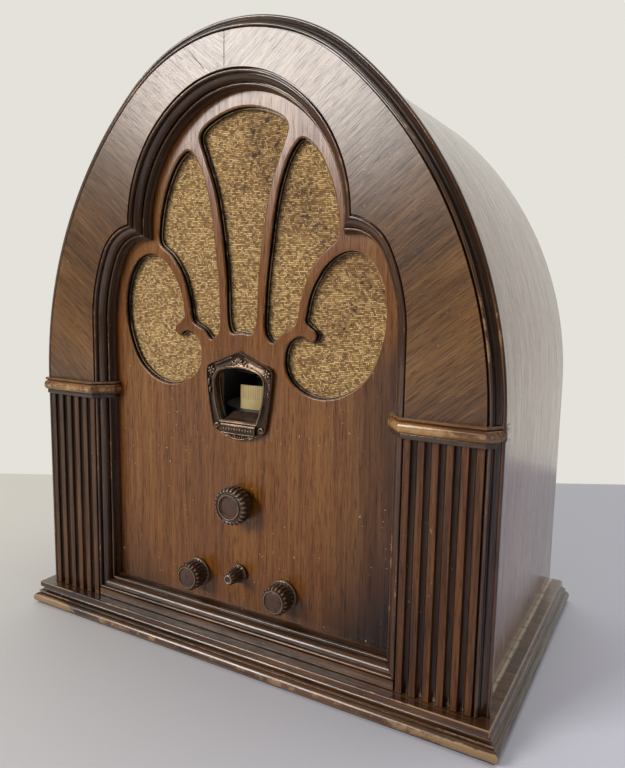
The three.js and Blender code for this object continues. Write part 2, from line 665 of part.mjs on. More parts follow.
const finishes = {
  veneer: finish(0x5a3418, 0.25),
  moulding: finish(0x2c190f, 0.3),
  panel: finish(0x7a4722, 0.35),
  bareWood: finish(0xa07a4c, 0.75),
  cloth: finish(0x9a7c48, 0.95),
  bronze: finish(0x4a3a2e, 0.45, 0.8),
  bakelite: finish(0x3d2318, 0.35),
  brass: finish(0xb08a48, 0.35, 1),
  scale: finish(0xd9c79a, 0.7),
  steel: finish(0x8c8c88, 0.45, 0.9),
  can: finish(0xb4b4ae, 0.4, 0.9),
  black: finish(0x161412, 0.6),
  glass: finish(0x9aa09c, 0.08, 0, { transparent: true, opacity: 0.4 }),
  rubber: finish(0x1d1b1a, 0.8),
  paper: finish(0x2a241e, 0.9),
};

// ---------------------------------------------------------------- assembly
const radio = new THREE.Group();

function add(name, geometry, material) {
  const mesh = new THREE.Mesh(geometry, finishes[material].clone());
  mesh.name = name;
  radio.add(mesh);
}

function addPair(name, geometry, material) {
  add(`${name}_right`, geometry, material);
  add(`${name}_left`, mirrored(geometry), material);
}

add('base_top_board', baseTopBoard(), 'moulding');
add('base_bottom_board', baseBottomBoard(), 'bareWood');
add('base_moulding_front', mouldingRun('front'), 'moulding');
addPair('base_moulding', mouldingRun('side'), 'moulding');
add('arch_frame', archFrame(), 'veneer');
add('outer_edge_moulding', outerEdgeMoulding(), 'moulding');
add('opening_moulding', openingMoulding(), 'moulding');
add('sill_moulding', sillMoulding(), 'moulding');
addPair('pilaster', pilaster(), 'moulding');
addPair('capital', capital(), 'moulding');
add('cabinet_wrap', cabinetWrap(), 'veneer');
add('front_panel', frontPanel(), 'panel');
add('grille_cloth', grilleCloth(), 'cloth');
add('baffle_board', baffleBoard(), 'bareWood');
addPair('chassis_rail', block([128, -86, base], [148, 100, CHASSIS.bottom - GAP]), 'bareWood');

add('escutcheon', escutcheon(), 'bronze');
add('tuning_knob', knob(TUNING, 14.6, 24, 11), 'bakelite');
add('tuning_shaft', controlShaft(TUNING, FRONT_Y + 5.6, ROLLER_Y + 14), 'brass');
add('drive_roller', driveRoller(), 'rubber');
const CONTROL_BACK = CHASSIS.front + 12;
add('volume_knob', knob(VOLUME, 11, 20, 11.6), 'bakelite');
add('volume_shaft', controlShaft(VOLUME, FRONT_Y + 5.6, CONTROL_BACK), 'brass');
add('volume_control', control(VOLUME, 16, 16, SHAFT_RADIUS), 'black');
add('tone_knob', knob(TONE, 11, 20, 11.6), 'bakelite');
add('tone_shaft', controlShaft(TONE, FRONT_Y + 5.6, CONTROL_BACK), 'brass');
add('tone_switch', control(TONE, 14, 16, SHAFT_RADIUS), 'black');
add('switch_knob', switchKnob(), 'bakelite');
add('switch_shaft', controlShaft(SWITCH, PANEL_Y - 9.7, CONTROL_BACK, 2.3), 'brass');
add('power_switch', control(SWITCH, 10, 16, 2.3), 'black');

add('tuning_bracket', tuningBracket(), 'steel');
add('drive_disc', driveDisc(), 'brass');
add('condenser_shaft', condenserShaft(), 'steel');
add('condenser_frame', condenserFrame(), 'steel');
add('rotor_vanes', rotorVanes(), 'can');
add('stator_vanes', statorVanes(), 'can');
add('dial_drum', dialDrum(), 'black');
add('dial_scale', dialScale(), 'scale');
add('lamp_bracket', lampBracket(), 'steel');
add('dial_lamp', dialLamp(), 'glass');

add('chassis', chassis(), 'steel');
add('cord_grommet', cordGrommet(), 'rubber');
add('power_transformer', powerTransformer(), 'black');
const bulbSpots = [['output_valve_left', -62, 66], ['output_valve_right', -8, 66], ['rectifier_valve', 44, 66]];
for (const [name, x, y] of bulbSpots) {
  add(`${name}_base`, valveBase(x, y), 'bakelite');
  add(`${name}_bulb`, valveBulb(x, y), 'glass');
}
const shieldSpots = [[-120, -60], [-120, -8], [-74, 8]];
shieldSpots.forEach(([x, y], i) => add(`valve_shield_${i + 1}`, valveShield(x, y), 'can'));
add('coil_can', coilCan(70, -20), 'can');
add('filter_can', capacitorCan(118, -50), 'can');

add('speaker_basket', speakerBasket(), 'black');
add('speaker_cone', speakerCone(), 'paper');
add('field_coil', fieldCoil(), 'black');
add('output_transformer', outputTransformer(), 'black');

export default radio;
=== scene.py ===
"""Looks of a cathedral table radio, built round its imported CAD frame.

Shapes are given in millimetres in the frame's own axes: +X right, +Y back, +Z up.
"""
from __future__ import annotations

import json
import logging
from dataclasses import dataclass
from enum import Enum
from math import atan2, copysign, cos, degrees, dist, hypot, pi, radians, sin, sqrt, tan
from typing import Callable, Iterable, Sequence

import bpy
from mathutils import Matrix, Vector

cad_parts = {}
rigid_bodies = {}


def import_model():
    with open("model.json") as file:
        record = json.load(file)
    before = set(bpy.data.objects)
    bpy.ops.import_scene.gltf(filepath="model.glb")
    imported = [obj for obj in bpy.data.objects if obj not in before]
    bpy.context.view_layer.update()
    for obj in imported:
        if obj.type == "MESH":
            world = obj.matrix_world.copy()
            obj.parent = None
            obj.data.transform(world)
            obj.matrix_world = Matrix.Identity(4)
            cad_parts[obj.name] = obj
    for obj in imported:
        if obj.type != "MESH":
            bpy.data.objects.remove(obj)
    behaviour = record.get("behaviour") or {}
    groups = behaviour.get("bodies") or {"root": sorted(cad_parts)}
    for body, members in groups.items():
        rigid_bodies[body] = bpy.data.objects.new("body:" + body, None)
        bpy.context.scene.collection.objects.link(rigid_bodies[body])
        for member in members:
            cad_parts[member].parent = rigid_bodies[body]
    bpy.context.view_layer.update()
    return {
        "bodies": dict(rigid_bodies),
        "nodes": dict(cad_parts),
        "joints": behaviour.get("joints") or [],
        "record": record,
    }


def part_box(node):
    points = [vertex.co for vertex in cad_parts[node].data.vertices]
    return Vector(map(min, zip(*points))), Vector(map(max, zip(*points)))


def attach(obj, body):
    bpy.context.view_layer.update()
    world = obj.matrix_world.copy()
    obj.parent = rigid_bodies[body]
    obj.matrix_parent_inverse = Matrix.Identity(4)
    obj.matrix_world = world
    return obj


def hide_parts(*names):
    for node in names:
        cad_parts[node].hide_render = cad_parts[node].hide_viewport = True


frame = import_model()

MM = 0.001
ROOT = "cabinet"
JOINT_X = 3.3
CRACK = ((-19.8, 436.4), (-36.7, 453.6))

Piece = bpy.types.Object
Material = bpy.types.Material
Socket = bpy.types.NodeSocket
Flat = tuple[float, float]
Place = tuple[float, float, float]
Mark = tuple[float, float, float]  # a profile point and its crest: 1 on a crest, worn and with a painted highlight; -1 in a groove, with painted shade

log = logging.getLogger("radio")


def low(node: str) -> Vector:
    """Lowest corner of a CAD node, in millimetres."""
    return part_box(node)[0] / MM


def high(node: str) -> Vector:
    """Highest corner of a CAD node, in millimetres."""
    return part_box(node)[1] / MM


PANEL_Y = low("front_panel").y
BASE_TOP = high("base_top_board").z


# ------------------------------------------------------------------ shader graphs
class Value:
    """A socket of a shader graph that takes part in arithmetic."""

    def __init__(self, graph: "Graph", socket: Socket) -> None:
        """Wraps one output socket."""
        self.graph = graph
        self.socket = socket

    def __add__(self, other: "Value | float") -> "Value":
        """Sum."""
        return self.graph.maths("ADD", self, other)

    __radd__ = __add__

    def __sub__(self, other: "Value | float") -> "Value":
        """Difference."""
        return self.graph.maths("SUBTRACT", self, other)

    def __rsub__(self, other: float) -> "Value":
        """Difference from a number."""
        return self.graph.maths("SUBTRACT", other, self)

    def __mul__(self, other: "Value | float") -> "Value":
        """Product."""
        return self.graph.maths("MULTIPLY", self, other)

    __rmul__ = __mul__

    def __truediv__(self, other: "Value | float") -> "Value":
        """Quotient."""
        return self.graph.maths("DIVIDE", self, other)

    def __pow__(self, other: float) -> "Value":
        """Power."""
        return self.graph.maths("POWER", self, other)

    def span(self, start: float, end: float) -> "Value":
        """0 below start, 1 above end, smooth between. Start may be the larger."""
        return self.graph.node("ShaderNodeMapRange", {"interpolation_type": "SMOOTHSTEP"}, {
            "Value": self, "From Min": start, "From Max": end, "To Min": 0.0, "To Max": 1.0})

    def wave(self) -> "Value":
        """Sine."""
        return self.graph.maths("SINE", self, 0.0)

    def size(self) -> "Value":
        """Absolute value."""
        return self.graph.maths("ABSOLUTE", self, 0.0)


Feed = "Value | float | Sequence[float]"


class Graph:
    """A material under construction, with one Principled shader."""

    def __init__(self, name: str) -> None:
        """Starts an empty material of that name.

        Args:
            name: the material's name.
        """
        self.material = bpy.data.materials.new(name)
        self.material.use_nodes = True
        self.tree = self.material.node_tree
        self.shader = self.tree.nodes["Principled BSDF"]

    def feed(self, socket: Socket, value: Feed) -> None:
        """Links a value to a socket, or sets a constant on it."""
        if isinstance(value, Value):
            self.tree.links.new(value.socket, socket)
        else:
            socket.default_value = value

    def node(self, kind: str, settings: dict, inputs: dict, output: int | str = 0) -> Value:
        """Adds one node.

        Args:
            kind: the node's type.
            settings: its options, or "stops" for a colour ramp.
            inputs: what goes into its sockets, by name or number.
            output: which output is used.

        Returns:
            The chosen output.
        """
        item = self.tree.nodes.new(kind)
        for key, value in settings.items():
            if key == "stops":
                self.set_stops(item.color_ramp, value)
            else:
                setattr(item, key, value)
        for key, value in inputs.items():
            self.feed(item.inputs[key], value)
        return Value(self, item.outputs[output])

    @staticmethod
    def set_stops(ramp: bpy.types.ColorRamp, stops: Sequence[tuple[float, Sequence[float]]]) -> None:
        """Gives a colour ramp its stops."""
        for _ in range(len(stops) - 2):
            ramp.elements.new(0.5)
        for element, (position, colour) in zip(ramp.elements, stops):
            element.position = position
            element.color = colour

    def maths(self, operation: str, a: Feed, b: Feed) -> Value:
        """A Math node."""
        return self.node("ShaderNodeMath", {"operation": operation}, {0: a, 1: b})

    def mix(self, amount: Feed, a: Feed, b: Feed) -> Value:
        """Blends two colours."""
        return self.node("ShaderNodeMix", {"data_type": "RGBA"}, {0: amount, 6: a, 7: b}, 2)

    def tint(self, colour: Feed, shade: Feed, amount: Feed = 1.0) -> Value:
        """Multiplies a colour by another."""
        return self.node("ShaderNodeMix", {"data_type": "RGBA", "blend_type": "MULTIPLY"},
                         {0: amount, 6: colour, 7: shade}, 2)

    def ramp(self, value: Feed, stops: Sequence[tuple[float, Sequence[float]]]) -> Value:
        """Maps a value to a colour."""
        return self.node("ShaderNodeValToRGB", {"stops": stops}, {0: value})

    def point(self) -> Value:
        """Position on the piece, in metres."""
        return self.node("ShaderNodeTexCoord", {}, {}, "Object")

    def uv(self) -> Value:
        """The piece's own flat coordinates."""
        return self.node("ShaderNodeTexCoord", {}, {}, "UV")

    def parts(self, vector: Value) -> tuple[Value, Value, Value]:
        """Splits a vector into its three numbers.

        Args:
            vector: what is split.

        Returns:
            Its X, Y and Z.
        """
        item = self.tree.nodes.new("ShaderNodeSeparateXYZ")
        self.feed(item.inputs[0], vector)
        return tuple(Value(self, socket) for socket in item.outputs)

    def vector(self, x: Feed, y: Feed, z: Feed) -> Value:
        """Joins three numbers into a vector."""
        return self.node("ShaderNodeCombineXYZ", {}, {0: x, 1: y, 2: z})

    def scaled(self, vector: Value, scale: Place) -> Value:
        """Stretches a vector."""
        return self.node("ShaderNodeVectorMath", {"operation": "MULTIPLY"}, {0: vector, 1: scale})

    def noise(self, vector: Value, scale: float, detail: float = 3.0, rough: float = 0.5,
              bend: float = 0.0) -> Value:
        """A noise texture, about 0.2 to 0.8."""
        return self.node("ShaderNodeTexNoise", {}, {
            "Vector": vector, "Scale": scale, "Detail": detail, "Roughness": rough, "Distortion": bend})

    def mark(self, name: str) -> Value:
        """A number stored on the piece's points."""
        return self.node("ShaderNodeAttribute", {"attribute_name": name}, {}, "Fac")

    def bump(self, height: Value, depth: float, under: Value | None = None) -> Value:
        """A bump of `depth` metres, on top of another one.

        Args:
            height: the relief, from 0 to 1.
            depth: how far 1 stands out, in metres.
            under: a bump that it lies on.

        Returns:
            The bent normal.
        """
        inputs = {"Height": height, "Strength": 1.0, "Distance": depth}
        if under is not None:
            inputs["Normal"] = under
        return self.node("ShaderNodeBump", {}, inputs)

    def finish(self, **sockets: Feed) -> Material:
        """Sets the shader's sockets, named with underscores for spaces, and returns the material."""
        for key, value in sockets.items():
            name = key.replace("_", " ")
            self.feed(self.shader.inputs[name], value)
        return self.material


def rgb(code: str, gain: float = 1.0) -> tuple[float, float, float, float]:
    """A linear colour from a six-digit screen colour, made lighter or darker by gain.

    Args:
        code: the screen colour.
        gain: how much lighter or darker.

    Returns:
        Red, green, blue and alpha.
    """
    screen = [int(code[i:i + 2], 16) / 255 for i in (0, 2, 4)]
    linear = [c / 12.92 if c <= 0.04045 else ((c + 0.055) / 1.055) ** 2.4 for c in screen]
    return (*(min(1.0, c * gain) for c in linear), 1.0)


# ------------------------------------------------------------------ finishes
class Grain(Enum):
    """Which way the fibres of a wooden piece run."""

    UPRIGHT = "upright"
    SIDEWAYS = "sideways"
    DEPTHWISE = "depthwise"
    MATCHED = "matched"
    SWEPT = "swept"


@dataclass(frozen=True)
class Wood:
    """Lacquered or bare wood.

    A glow is a lighter middle in the toned lacquer: its centre (x, z) and half sizes, in millimetres.
    The lacquer is darker beside it and below it. Corners is the X beyond which the crests are most worn.
    Shaded_behind is the Y of a face behind whose edge the walls are painted nearly black, as painted shade.
    Ledge is the X beside which a line of dust lies.
    """

    name: str
    dark: str
    middle: str
    light: str
    grain: Grain = Grain.UPRIGHT
    gloss: float = 0.28
    coat: float = 0.6
    wear: float = 0.5
    worn: str = "a08058"
    specks: float = 0.4
    glow: tuple[float, float, float, float] | None = None
    edge_tone: str = "30211a"
    corners: float = 0.0
    haze: float = 0.24
    figure: tuple[float, float, float] = (170.0, 170.0, 8.0)
    shaded_behind: float | None = None
    ledge: float = 0.0

    def fibres(self, g: Graph) -> Value:
        """Coordinates whose third number runs along the fibres.

        Args:
            g: the graph.

        Returns:
            The coordinates.
        """
        x, y, z = g.parts(g.point())
        if self.grain is Grain.UPRIGHT:
            return g.vector(x, y, z)
        if self.grain is Grain.SIDEWAYS:
            return g.vector(z, y, x)
        if self.grain is Grain.DEPTHWISE:
            return g.vector(z, x, y)
        if self.grain is Grain.SWEPT:
            return g.vector(g.mark("across"), y * 0.2, g.mark("along"))
        lean = radians(52)
        side = (x + JOINT_X * MM).size()
        across = side * cos(lean) - z * sin(lean)
        along = side * sin(lean) + z * cos(lean)
        return g.vector(across, y, along)

    def build(self) -> Material:
        """Makes the material.

        Returns:
            The material.
        """
        g = Graph(self.name)
        fibre = self.fibres(g)
        point = g.point()
        x, y, z = g.parts(point)
        fx, fy, fz = self.figure
        broad = g.noise(g.scaled(fibre, (16, 16, 3)), 1.0, 3.0, 0.5, 0.3)
        figure = g.noise(g.scaled(fibre, (fx, fy, fz)), 1.0, 4.0, 0.6, 0.4)
        fine = g.noise(g.scaled(fibre, (fx * 3.6, fy * 3.6, fz * 2.6)), 1.0, 2.0)
        pore = g.noise(g.scaled(fibre, (1700, 1700, 90)), 1.0, 1.0).span(0.56, 0.68)
        tone = (broad * 0.34 + figure * 0.34 + fine * 0.32).span(0.32, 0.68)
        colour = g.ramp(tone, [(0.0, rgb(self.dark)), (0.5, rgb(self.middle)), (1.0, rgb(self.light))])
        colour = g.tint(colour, rgb("74583c"), pore * 0.6)
        if self.glow:
            colour = g.tint(colour, rgb(self.edge_tone, 2.6), self.shadow(g, broad))
        cover = (fine * 1.1 + figure * 0.5 - pore * 0.3 + 0.25) * self.coat
        if self.grain is Grain.MATCHED:
            split = self.splits(g)
            colour = g.tint(colour, rgb("2a1a12"), split)
            cover = cover * (1.0 - split)
        if self.shaded_behind is not None:
            # Painted shade: the walls of the openings and the lining behind that face are darkened nearly
            # black.
            behind = y.span((self.shaded_behind + 0.9) * MM, (self.shaded_behind + 1.9) * MM)
            colour = g.tint(colour, rgb("20150f"), behind)
        crest = g.mark("crest")
        if self.corners:
            crest = crest * (x.size().span(self.corners * MM, (self.corners + 55) * MM) * 0.9 + 0.95)
        chips = g.noise(point, 140.0, 4.0, 0.65)
        patches = g.noise(point, 22.0, 2.0)
        rubbing = self.wear * 0.4
        worn = (crest * 0.55 + chips * 0.9 + patches * 0.7).span(1.66 - rubbing, 1.80 - rubbing)
        # Crests lightened in patches towards the light tone: partly rubbed wear, partly a painted highlight
        # on edges and beads.
        rubbed_and_highlight = (crest.span(0.2, 1.0) * patches.span(0.35, 0.65)) * (0.6 * self.wear)
        colour = g.mix(rubbed_and_highlight, colour, rgb(self.light, 1.5))
        colour = g.mix(worn * (0.85 * self.wear), colour, rgb(self.worn))
        # Painted shade: grooves, where the crest is below zero, are darkened towards 2c221c.
        colour = g.tint(colour, rgb("2c221c"), crest.span(-0.05, -0.75) * 0.8)
        dust = crest.span(-1.0, -1.7) * g.noise(point, 160.0, 3.0).span(0.35, 0.65)
        colour = g.mix(dust * 0.5, colour, rgb("9c8c78"))
        if self.ledge:
            line = (x.size() - self.ledge * MM).size().span(0.0022, 0.0004)
            line = line * chips.span(0.25, 0.55) * z.span((BASE_TOP - 0.6) * MM, (BASE_TOP - 0.1) * MM)
            line = line * y.span((PANEL_Y + 1) * MM, (PANEL_Y + 4) * MM)
            colour = g.mix(line * 0.75, colour, rgb("cbbca2"))
        speck = g.noise(point, 420.0, 1.0).span(0.745, 0.78) * patches.span(0.45, 0.6)
        scratch = g.noise(g.scaled(point, (30, 30, 900)), 1.0, 1.0).span(0.76, 0.80)
        mars = speck * self.specks + scratch * (self.specks * 0.25)
        colour = g.mix(mars, colour, rgb("b89a74"))
        smudge = g.noise(point, 14.0, 3.0)
        rough = smudge * 0.16 + figure * 0.06 + worn * 0.3 + dust * 0.3 + (self.gloss - 0.11)
        grain_bump = g.bump(fine * 0.4 + figure * 0.6 - pore * 0.9, 0.00009)
        ripple = g.bump(g.noise(point, 34.0, 1.0) - worn * 0.35, 0.00022, grain_bump)
        return g.finish(Base_Color=colour, Roughness=rough, Normal=ripple, Specular_IOR_Level=0.12,
                        Coat_Weight=cover, Coat_Roughness=self.haze)

    def shadow(self, g: Graph, broad: Value) -> Value:
        """How dark the toned lacquer is round its glow.

        Args:
            g: the graph.
            broad: slow noise that loosens its edge.

        Returns:
            0 in the glow, 1 in the dark.
        """
        x, _, z = g.parts(g.point())
        cx, cz, rx, rz = (v * MM for v in self.glow)
        below = g.maths("MAXIMUM", cz - z, 0.0)
        beside = ((x - cx) / rx) ** 2.0 * z.span(cz + rz, cz + rz * 0.5)
        return (beside + (below / rz) ** 2.0 + (broad - 0.5) * 0.8).span(0.25, 1.35)

    def splits(self, g: Graph) -> Value:
        """The joint of the two matched leaves at the crown, and a hairline crack to its left.

        Args:
            g: the graph.

        Returns:
            1 in a gap, 0 elsewhere.
        """
        x, _, z = g.parts(g.point())
        joint = (x + JOINT_X * MM).size().span(0.0006, 0.0002)
        start, end = CRACK
        run = dist(start, end)
        ux, uz = (end[0] - start[0]) / run, (end[1] - start[1]) / run
        dx, dz = x - start[0] * MM, z - start[1] * MM
        off = (dx * uz - dz * ux + (g.noise(g.point(), 260.0, 2.0) - 0.5) * 0.0016).size()
        along = dx * ux + dz * uz
        ends = along.span(0.0, 0.002) * along.span(run * MM, (run - 6) * MM)
        crack = off.span(0.0005, 0.0001) * ends
        return g.maths("MAXIMUM", joint * 0.8, crack * 0.9)


@dataclass(frozen=True)
class Tweed:
    """Coarse grille cloth of gold and brown yarn, with dark spots, darker in blotches and towards the top and
    right.
    """

    name: str = "grille_tweed"
    pitch: float = 1.25
    stitch: float = 2.3
    pale: str = "e6c182"
    gold: str = "b38b4f"
    brown: str = "7b5a30"

    def build(self) -> Material:
        """Makes the material.

        Returns:
            The material.
        """
        g = Graph(self.name)
        x, _, z = g.parts(g.point())
        x = x + (g.noise(g.point(), 22.0, 1.0) - 0.5) * 0.002
        z = z + (g.noise(g.point(), 19.0, 1.0) - 0.5) * 0.002
        row = g.maths("FLOOR", z / (self.pitch * MM), 0.0)
        place = x / (self.stitch * MM) + row * 0.37
        stitch = g.vector(g.maths("FLOOR", place, 0.0), row, 0.0)
        thread = g.vector(g.maths("FLOOR", place * 2.0, 0.0), g.maths("FLOOR", row * 0.5, 0.0), 5.0)
        dice = {"noise_dimensions": "3D"}
        weft = g.node("ShaderNodeTexWhiteNoise", dice, {"Vector": stitch})
        warp = g.node("ShaderNodeTexWhiteNoise", dice, {"Vector": thread})
        kind = g.node("ShaderNodeTexWhiteNoise", dice, {"Vector": stitch}, "Color")
        over = g.maths("GREATER_THAN", g.parts(kind)[1], 0.28)
        yarn = over * weft + (1.0 - over) * warp
        weft_height = (z * (pi / (self.pitch * MM))).wave().size()
        warp_height = (place * (2 * pi)).wave().size()
        height = over * weft_height + (1.0 - over) * warp_height
        colour = g.ramp(yarn, [(0.0, rgb(self.brown)), (0.5, rgb(self.gold)), (1.0, rgb(self.pale))])
        # Painted shade between the yarns: the low parts of the weave are darkened towards 33220f.
        colour = g.tint(colour, rgb("33220f"), height.span(0.8, 0.1) * 0.85)
        # Darker in blotches and towards the top and the right of the cloth; the dark spots follow the darkest
        # blotches.
        stain = g.noise(g.point(), 26.0, 4.0, 0.6) + (z - 0.33) * 1.6 + (x - 0.04) * 1.1
        colour = g.tint(colour, rgb("94734e"), stain.span(0.38, 0.85) * 0.7)
        spots = g.noise(g.point(), 190.0, 2.0).span(0.64, 0.69) * stain.span(0.40, 0.62)
        colour = g.tint(colour, rgb("3e2a1c"), spots * 0.85)
        return g.finish(Base_Color=colour, Roughness=0.9, Normal=g.bump(height * 0.7 + yarn * 0.5, 0.0005),
                        Sheen_Weight=0.25, Sheen_Roughness=0.5)


@dataclass(frozen=True)
class Metal:
    """Cast, plated, spun or turned metal, with tarnish in its hollows."""

    name: str
    bright: str
    tarnish: str
    gloss: float = 0.35
    metallic: float = 1.0
    patina: float = 0.5
    grain: float = 0.00003

    def build(self) -> Material:
        """Makes the material.

        Returns:
            The material.
        """
        g = Graph(self.name)
        point = g.point()
        cloud = g.noise(point, 38.0, 4.0, 0.6)
        speckle = g.noise(point, 700.0, 2.0)
        crest = g.mark("crest")
        dull = (cloud * 1.1 + speckle * 0.3 - crest * 0.45).span(0.95 - self.patina, 1.25 - self.patina * 0.7)
        colour = g.mix(dull, rgb(self.bright), rgb(self.tarnish))
        rough = dull * 0.22 + speckle * 0.1 + (self.gloss - 0.08)
        height = speckle * 0.6 + cloud * 0.4
        return g.finish(Base_Color=colour, Roughness=rough, Metallic=(1.0 - dull * 0.35) * self.metallic,
                        Normal=g.bump(height, self.grain))


@dataclass(frozen=True)
class Moulded:
    """Moulded plastic or rubber with faint mottling, dust in the grooves, and crests lightened partly as
    rubbed wear and partly as a painted highlight.
    """

    name: str
    body: str
    mottle: str
    gloss: float = 0.3
    dusty: float = 0.25
    rubbed_and_highlight: str = "94765c"

    def build(self) -> Material:
        """Makes the material.

        Returns:
            The material.
        """
        g = Graph(self.name)
        point = g.point()
        swirl = g.noise(point, 70.0, 4.0, 0.6, 1.2)
        crest = g.mark("crest")
        grit = g.noise(point, 900.0, 2.0)
        colour = g.mix(swirl.span(0.35, 0.7), rgb(self.body), rgb(self.mottle))
        # Crests lightened towards the rubbed colour: partly wear, partly a painted highlight.
        colour = g.mix(crest.span(0.45, 1.0) * 0.55, colour, rgb(self.rubbed_and_highlight))
        dust = crest.span(-0.2, -1.0) * grit.span(0.35, 0.6) * self.dusty
        colour = g.mix(dust, colour, rgb("a3937e"))
        rough = swirl * 0.12 + dust * 0.9 + (self.gloss - 0.06)
        return g.finish(Base_Color=colour, Roughness=rough, Normal=g.bump(grit + swirl, 0.00002))


@dataclass(frozen=True)
class Enamel:
    """Black stoved enamel with dust on it."""

    name: str
    body: str = "191816"
    dust: str = "6e675c"
    gloss: float = 0.42

    def build(self) -> Material:
        """Makes the material.

        Returns:
            The material.
        """
        g = Graph(self.name)
        point = g.point()
        settle = g.noise(point, 30.0, 4.0, 0.6)
        grit = g.noise(point, 500.0, 2.0)
        colour = g.mix((settle * 0.7 + grit * 0.4).span(0.5, 0.8) * 0.45, rgb(self.body), rgb(self.dust))
        return g.finish(Base_Color=colour, Roughness=settle * 0.3 + (self.gloss - 0.1),
                        Normal=g.bump(grit, 0.00003))


@dataclass(frozen=True)
class Fibre:
    """Aged paper or felted pulp. Ticks prints a scale of fine lines on it."""

    name: str
    body: str
    shade: str
    ticks: bool = False
    ribs: float = 0.0

    def build(self) -> Material:
        """Makes the material.

        Returns:
            The material.
        """
        g = Graph(self.name)
        point = g.point()
        cloud = g.noise(point, 55.0, 4.0, 0.6)
        pulp = g.noise(point, 1200.0, 2.0)
        colour = g.mix(cloud.span(0.35, 0.7) * 0.6, rgb(self.body), rgb(self.shade))
        height = pulp
        if self.ticks:
            along, up, _ = g.parts(g.uv())
            fine = ((along * (pi * 100)).wave().size()).span(0.22, 0.10) * up.span(0.30, 0.29)
            bold = ((along * (pi * 20)).wave().size()).span(0.05, 0.03) * up.span(0.44, 0.43)
            colour = g.tint(colour, rgb("4a3a28"), (fine + bold) * up.span(0.10, 0.11))
        if self.ribs:
            x, _, z = g.parts(point)
            reach = ((x ** 2.0) + ((z - self.ribs * MM) ** 2.0)) ** 0.5
            height = (reach * 1400.0).wave() * 0.7 + pulp * 0.3
        return g.finish(Base_Color=colour, Roughness=0.85, Normal=g.bump(height, 0.00012))


@dataclass(frozen=True)
class Glass:
    """Thin clear glass with a silver getter patch above a given height."""

    name: str = "valve_glass"
    tint: str = "cfd6d2"
    getter: float = 0.172

    def build(self) -> Material:
        """Makes the material.

        Returns:
            The material.
        """
        g = Graph(self.name)
        point = g.point()
        _, _, z = g.parts(point)
        haze = g.noise(point, 45.0, 3.0)
        silver = (z + (haze - 0.5) * 0.012).span(self.getter, self.getter + 0.006)
        colour = g.mix(silver, rgb(self.tint), rgb("5c5a58"))
        return g.finish(Base_Color=colour, Roughness=haze * 0.1, Metallic=silver * 0.9,
                        Alpha=silver * 0.7 + haze * 0.12 + 0.14)


WOODS = {
    "arch": Wood("arch_veneer", "3b230d", "5d3c18", "785226", Grain.MATCHED, gloss=0.32, coat=0.8,
                 specks=0.3, figure=(290.0, 290.0, 20.0)),
    "moulding": Wood("swept_moulding", "20120a", "38200f", "54331b", Grain.SWEPT, gloss=0.3, coat=1.0,
                     wear=0.65, haze=0.16),
    "sill": Wood("sill_stain", "26170d", "452a12", "6a4424", Grain.SIDEWAYS, gloss=0.26, coat=1.0, wear=0.5,
                 haze=0.26),
    "base": Wood("base_stain", "22140b", "40250f", "64401f", Grain.SIDEWAYS, gloss=0.25, coat=1.0, wear=0.78,
                 corners=140, ledge=193.6, haze=0.26),
    "base_side": Wood("base_side_stain", "22140b", "402513", "5f3b20", Grain.DEPTHWISE, gloss=0.25, coat=1.0,
                      wear=0.6, haze=0.26),
    "pilaster": Wood("pilaster_walnut", "26140a", "4a290e", "6a3f17", Grain.UPRIGHT, gloss=0.34, wear=0.5),
    "capital": Wood("capital_walnut", "3a220f", "66401a", "9a6c38", Grain.SIDEWAYS, gloss=0.22, coat=1.0,
                    wear=1.0, haze=0.16),
    "panel": Wood("front_veneer", "5c3411", "704114", "81521a", Grain.UPRIGHT, gloss=0.36, coat=0.7,
                  specks=0.7, wear=1.0, glow=(-20, 150, 150, 150), shaded_behind=PANEL_Y),
    "side": Wood("side_veneer", "4e2d1c", "6e432c", "86583c", Grain.SWEPT, gloss=0.26, coat=1.0, specks=0.3,
                 haze=0.2),
    "bare_deep": Wood("bare_rail", "7c5b36", "a27c4e", "bf9a68", Grain.DEPTHWISE, gloss=0.7, coat=0.0,
                      specks=0.2),
    "bare": Wood("bare_poplar", "7c5b36", "a27c4e", "bf9a68", Grain.SIDEWAYS, gloss=0.7, coat=0.0,
                 specks=0.2),
}
FINISHES = {
    "cloth": Tweed(),
    "bronze": Metal("antique_bronze", "8c7562", "33261d", gloss=0.38, patina=0.66, grain=0.00006),
    "brass": Metal("turned_brass", "c39a55", "6a4d28", gloss=0.3),
    "steel": Metal("plated_steel", "a4a29a", "5f5b52", gloss=0.42),
    "spun": Metal("spun_cans", "c2c1bb", "87857d", gloss=0.4),
    "bakelite": Moulded("brown_bakelite", "2c1d15", "43291b", gloss=0.24, dusty=0.5, rubbed_and_highlight="a88c72"),
    "bakelite_red": Moulded("red_brown_bakelite", "34211a", "4d2f20", gloss=0.28, dusty=0.4),
    "rubber": Moulded("black_rubber", "1c1a19", "2a2725", gloss=0.7, rubbed_and_highlight="4a4744"),
    "enamel": Enamel("black_enamel"),
    "shade": Enamel("lamp_shade", "14110f", "2c2620", gloss=0.6),
    "drum_grey": Enamel("drum_enamel", "4a4745", "7d776e", gloss=0.5),
    "chassis_plate": Metal("chassis_plating", "a9a69b", "6d675b", gloss=0.42, patina=0.55),
    "lamp": Glass("lamp_glass", "d9d4c4", getter=0.2077),
    "scale": Fibre("scale_paper", "b5a273", "967f50", ticks=True),
    "pulp": Fibre("cone_pulp", "3a332b", "241f1a", ribs=318),
    "glass": Glass(),
}


